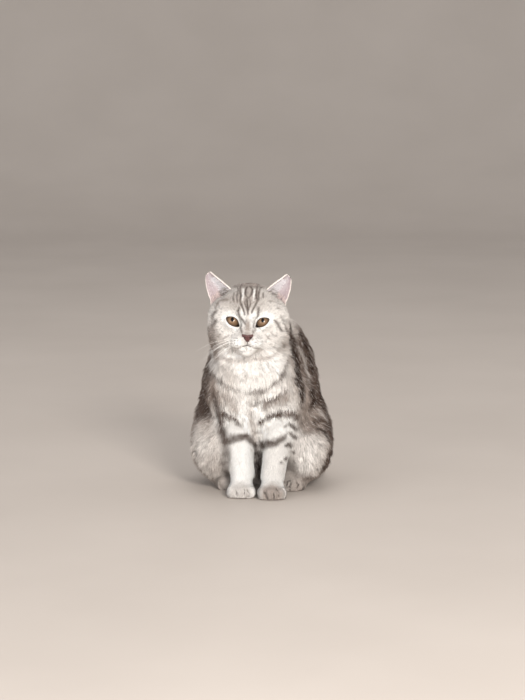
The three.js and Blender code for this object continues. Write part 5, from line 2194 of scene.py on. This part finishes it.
        def grow(
            part: str, h: Array, s: Array, tilt: Array, way: Array, off: float | None, **hair: Hair
        ) -> None:
            """One set of hairs as a piece of its own.

            Args:
                part: the piece's name, after the ear's.
                h: how high on the leaf each root is.
                s: how far across it.
                tilt: the surface's normal there.
                way: the way that the hair lies.
                off: how far off the leaf's middle the roots are; half its thickness if none is given.
                hair: their length, width, lift and colour, and whether they bend.
            """
            spots, thick = self.leaf(h, s)
            spots = spots + tilt * ((thick / 2)[:, None] if off is None else off)
            place = fitted(np.stack([(spots - root) @ across, (spots - root) @ upward], axis=1))
            width, lift = np.full(len(h), hair["width"]), np.full(len(h), hair["lift"])
            colour = np.broadcast_to(hair["colour"], spots.shape)
            tufts = Tufts(spots, tilt, flattened(way, tilt), hair["length"], width, lift, colour, place)
            bends = hair.get("bends", False)
            dressed(tufts.mesh(f"{name}_{part}", bends, SEED + self.side + len(part)), fur, "fur_white")

        # the furred back
        h, s = sown(4200, -0.1, 0.96, 0.93)
        edge = ease(np.abs(s), 0.75, 0.98)[:, None]
        tilt = -forward * (1 - 0.85 * edge) + across * (1.1 * s)[:, None]
        tilt = tilt + upward * ease(h, 0.8, 1.0)[:, None]
        way = upward + across * (0.25 * s)[:, None]
        inner = ((1 - ease(np.abs(s), 0.5, 0.9)) * (1 - ease(h, 0.8, 0.95)))[:, None]
        tone = Tone.PEARL.linear() + (Tone.ASH.linear() - Tone.PEARL.linear()) * inner
        grow("back", h, s, unit(tilt), way, None, length=3.6 - 1.4 * h, width=0.6, lift=14.0, colour=tone)
        # fine down inside
        h, s = sown(1500, 0.05, 0.95, 0.92)
        way = upward + across * (0.5 + 0.3 * s)[:, None]
        hair = {"length": 3.2 - 1.2 * h, "width": 0.3, "lift": 13.0}
        grow("down", h, s, leaning(-1.1, s), way, None, colour=linear((0.93, 0.87, 0.86)), **hair)
        # the pale fringe of the rim
        count = 900
        edge_side = rng.choice([-1.0, 1.0], count)
        h = rng.uniform(0.0, 0.97, count)
        s = edge_side * rng.uniform(0.95, 1.0, count)
        outward = unit(across * s[:, None] * (1 - 0.4 * h)[:, None] + upward * (0.55 + 0.8 * h)[:, None])
        long = 2.0 + 0.6 * rng.random(count)
        tone = linear((0.97, 0.92, 0.88))
        tilt = unit(forward + outward * 0.8)
        grow("rim", h, s, tilt, outward, 0.0, length=long, width=0.45, lift=6.0, colour=tone)
        # long hairs from the inner edge across the cup
        count = 420
        bundle = rng.integers(0, 10, count)
        h = 0.02 + 0.075 * bundle + rng.normal(0, 0.014, count)
        s = -0.93 + 0.62 * rng.random(count) ** 1.5
        way = across + upward * (0.55 - 0.55 * h + 0.25 * rng.random(count))[:, None]
        long = (12.0 + 9.0 * rng.random(count)) * (1 - 0.6 * h)
        hair = {"width": 0.30, "lift": 15.0, "colour": linear((0.97, 0.94, 0.95)), "bends": True}
        grow("hairs", h, s, leaning(-0.9, s), way, 0.6, length=long, **hair)
        # the tuft of the outer pocket at the root
        h, s = rng.uniform(-0.05, 0.2, 160), rng.uniform(0.3, 0.95, 160)
        hair = {"length": rng.uniform(5, 9, 160), "width": 0.5, "lift": 26.0, "bends": True}
        tone = linear((0.82, 0.74, 0.72))
        grow("pocket", h, s, leaning(-0.3, s), -across * 0.5 + upward, 0.4, colour=tone, **hair)
        # a dark brush where the head's fur meets the cup
        h, s = rng.uniform(-0.02, 0.16, 190), rng.uniform(-0.85, 0.1, 190)
        share = rng.random(190)[:, None]
        tone = Tone.DARK.linear() * share + Tone.SILVER.linear() * (1 - share)
        hair = {"length": rng.uniform(5, 10, 190), "width": 0.55, "lift": 26.0, "bends": True}
        grow("brush", h, s, leaning(-0.4, s), across * 0.7 + upward, 1.2, colour=tone, **hair)


EARS = (Ear(-1), Ear(1, root_in=(24.5, 4.0, 45.0), root_out=(51.0, 18.0, 20.0), tip=(59.5, 11.0, 68.3)))


# -------- whiskers


@dataclass
class Whiskers:
    """White whiskers from the muzzle's rows and over the eyes."""

    rows: tuple[tuple[float, float, int], ...] = ((-28.5, 10.0, 3), (-32.5, 0.0, 4), (-36.8, -12.0, 4))
    thickness: float = 0.19

    def build(self, fur: bpy.types.Material) -> bpy.types.Object:
        """All the whiskers as one object.

        Args:
            fur: their material.

        Returns:
            The whiskers.
        """
        rng = np.random.default_rng(SEED + 5)
        parts = []
        for side in (-1, 1):
            for height, slope, count in self.rows:
                for n in range(count):
                    start = np.array([side * (14.0 + 3.6 * n), -52.0 + 1.3 * n, height])
                    length = 44.0 + 5.0 * n + rng.uniform(-5, 5)
                    angle = math.radians(slope - 4 * n + rng.uniform(-6, 6) - 12)
                    way = np.array([side * math.cos(angle), -0.18 + 0.22 * n, math.sin(angle)])
                    parts.append(self._one(start, way, length, 0.30 + 0.06 * rng.random()))
            for n in range(4):
                start = np.array([side * (17.0 + 3.0 * n), -42.0 + n, 9.0 + 0.6 * n])
                way = np.array([side * (0.25 + 0.2 * n), -0.35, 1.0])
                parts.append(self._one(start, way, 20.0 + rng.uniform(-3, 4), 0.2, 0.7))
        points, faces = gathered(parts)
        placed = HEAD.place(points)
        obj = mesh_object("whiskers", placed, faces)
        paint(obj, filled(linear((0.97, 0.96, 0.94)), len(placed)))
        return dressed(obj, fur, "fur_white")

    def _one(
        self, start: Array, way: Array, length: float, sag: float, slim: float = 1.0
    ) -> tuple[Array, Array]:
        """The points and triangles of one whisker, bending down and back towards its tip.

        Args:
            start: its root.
            way: the way that it starts in.
            length: its length.
            sag: how far its tip bends, as a share of that.
            slim: how thick it is against the others.

        Returns:
            Its points and its triangles.
        """
        share = np.linspace(0, 1, 14)[:, None]
        way = unit(way)
        path = start + way * length * share + np.array([0.0, 0.35, -0.9]) * length * sag * share**2.2
        radii = self.thickness * slim * (1 - 0.85 * share[:, 0])
        return tube(path, radii, 5)


@dataclass
class Rims:
    """The dark wet lid rims and the lips' dark line."""

    lip: float = 0.5
    lip_samples: int = 9

    def build(self) -> bpy.types.Object:
        """Rims and lips as one object."""
        parts = [eye.rim_parts() for eye in EYES]
        for path in MOUTH:
            line = smooth_path(path, 1.2)[: self.lip_samples] + np.array([0.0, 0.9, 0.0])
            share = np.linspace(0, 1, len(line))
            points, faces = tube(HEAD.place(line), self.lip * (1.0 - 0.7 * share), 6)
            parts.append((points, face_out(points, faces)))
        obj = mesh_object("lid_rims_and_lips", *gathered(parts))
        finish = LeatherFinish("dark_rim", (0.20, 0.15, 0.13), (0.15, 0.11, 0.10), 0.0006, 0.2, 0.35)
        return dressed(obj, finish.material(), "nose")


# -------- studio


@dataclass
class Lamp:
    """One soft square lamp, aimed at the cat."""

    name: str
    place: tuple[float, float, float]
    size: float
    power: float
    colour: tuple[float, float, float] = (1.0, 1.0, 1.0)

    def build(self) -> None:
        """Puts the lamp in the scene."""
        data = bpy.data.lights.new(self.name, "AREA")
        data.energy, data.size, data.color = self.power, self.size, self.colour
        lamp = bpy.data.objects.new(self.name, data)
        lamp.location = self.place
        lamp.rotation_euler = (Vector((0, 0, 0.15)) - Vector(self.place)).to_track_quat("-Z", "Y").to_euler()
        bpy.context.scene.collection.objects.link(lamp)


@dataclass
class Studio:
    """Camera, pale floor and soft light."""

    camera_place: tuple[float, float, float] = (0.000836, -3.602457, 0.790)
    camera_tilt: float = 80.94
    lens: float = 120.0
    lamps: tuple[Lamp, ...] = (
        Lamp("key", (0.9, -3.0, 1.45), 0.8, 104.0, (1.0, 0.975, 0.94)),
        Lamp("fill", (-1.9, -2.7, 0.7), 2.0, 44.0, (0.99, 0.99, 1.0)),
        Lamp("top", (0.2, 0.6, 2.6), 2.0, 20.0, (1.0, 0.98, 0.96)),
        Lamp("low", (0.1, -2.4, 0.3), 1.0, 9.0, (1.0, 0.98, 0.95)),
    )

    def build(self) -> None:
        """Sets up the camera, the floor, the lamps and the world."""
        scene = bpy.context.scene
        camera = bpy.data.objects.new("camera", bpy.data.cameras.new("camera"))
        camera.location = self.camera_place
        camera.rotation_euler = (math.radians(self.camera_tilt), 0, 0)
        camera.data.lens = self.lens
        camera.data.sensor_width = 36.0
        camera.data.clip_end = 60.0
        scene.collection.objects.link(camera)
        scene.camera = camera
        scene.view_settings.view_transform = "Standard"
        world = bpy.data.worlds.new("studio")
        world.use_nodes = True
        world.node_tree.nodes["Background"].inputs[0].default_value = (0.95, 0.97, 1.0, 1.0)
        world.node_tree.nodes["Background"].inputs[1].default_value = 0.72
        scene.world = world
        for lamp in self.lamps:
            lamp.build()
        self._floor()

    @staticmethod
    def _floor() -> None:
        """A pale floor that curves up into a wall behind the cat."""
        profile = [(-20000.0, 0.0), (-2000.0, 0.0), (0.0, 0.0), (3500.0, 0.0)]
        bend = np.linspace(0.1, math.pi / 2, 14)
        profile += [(3500 + 2000 * math.sin(a), 2000 - 2000 * math.cos(a)) for a in bend]
        profile.append((5500.0, 5000.0))
        across = np.linspace(-20000, 20000, 9)
        points = np.array([(x, y, z) for y, z in profile for x in across])
        floor = mesh_object("floor", points, grid_faces(len(profile), len(across)))
        nodes = Nodes("floor_paint")
        cloud = nodes.add("TexNoise", {"Scale": 3.0, "Detail": 3.0}, {"Vector": nodes.place()})
        stops = [(0.3, linear((0.70, 0.66, 0.625))), (0.7, linear((0.72, 0.68, 0.645)))]
        nodes.link(nodes.ramp(cloud.outputs["Fac"], stops), "Base Color")
        nodes.set(Roughness=0.6, Specular_IOR_Level=0.3)
        floor.data.materials.append(nodes.material)


# -------- main


def main() -> None:
    """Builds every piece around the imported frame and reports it."""
    logging.basicConfig(level=logging.INFO, format="%(name)s: %(message)s")
    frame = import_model()
    Studio().build()
    skin = Skin()
    skin.shape(frame["nodes"])
    LOG.info("skin: %d points, %d triangles", len(skin.surface.points), len(skin.surface.triangles))
    markings = Markings(skin.solids)
    skin.build(markings)
    eye_finish = EyeFinish()
    for eye in EYES:
        LOG.info("%s", eye.build(eye_finish).name)
    LOG.info("%s", Nose().build().name)
    LOG.info("%s", Rims().build().name)
    pale = FurFinish("pale_hair", roughness=0.5, gloss=0.35, fleck_depth=0.05).material()
    tones = ((0.86, 0.76, 0.765), (0.8, 0.7, 0.7))
    leaf = LeatherFinish("ear_skin", *tones, 0.0013, 0.2, 0.55, painted=True).material()
    for ear in EARS:
        ear.build(leaf, pale)
    LOG.info("ears")
    LOG.info("%s", Whiskers().build(pale).name)
    LOG.info("coat: %d triangles", Coat().build(skin, markings))


if __name__ == "__main__":
    main()
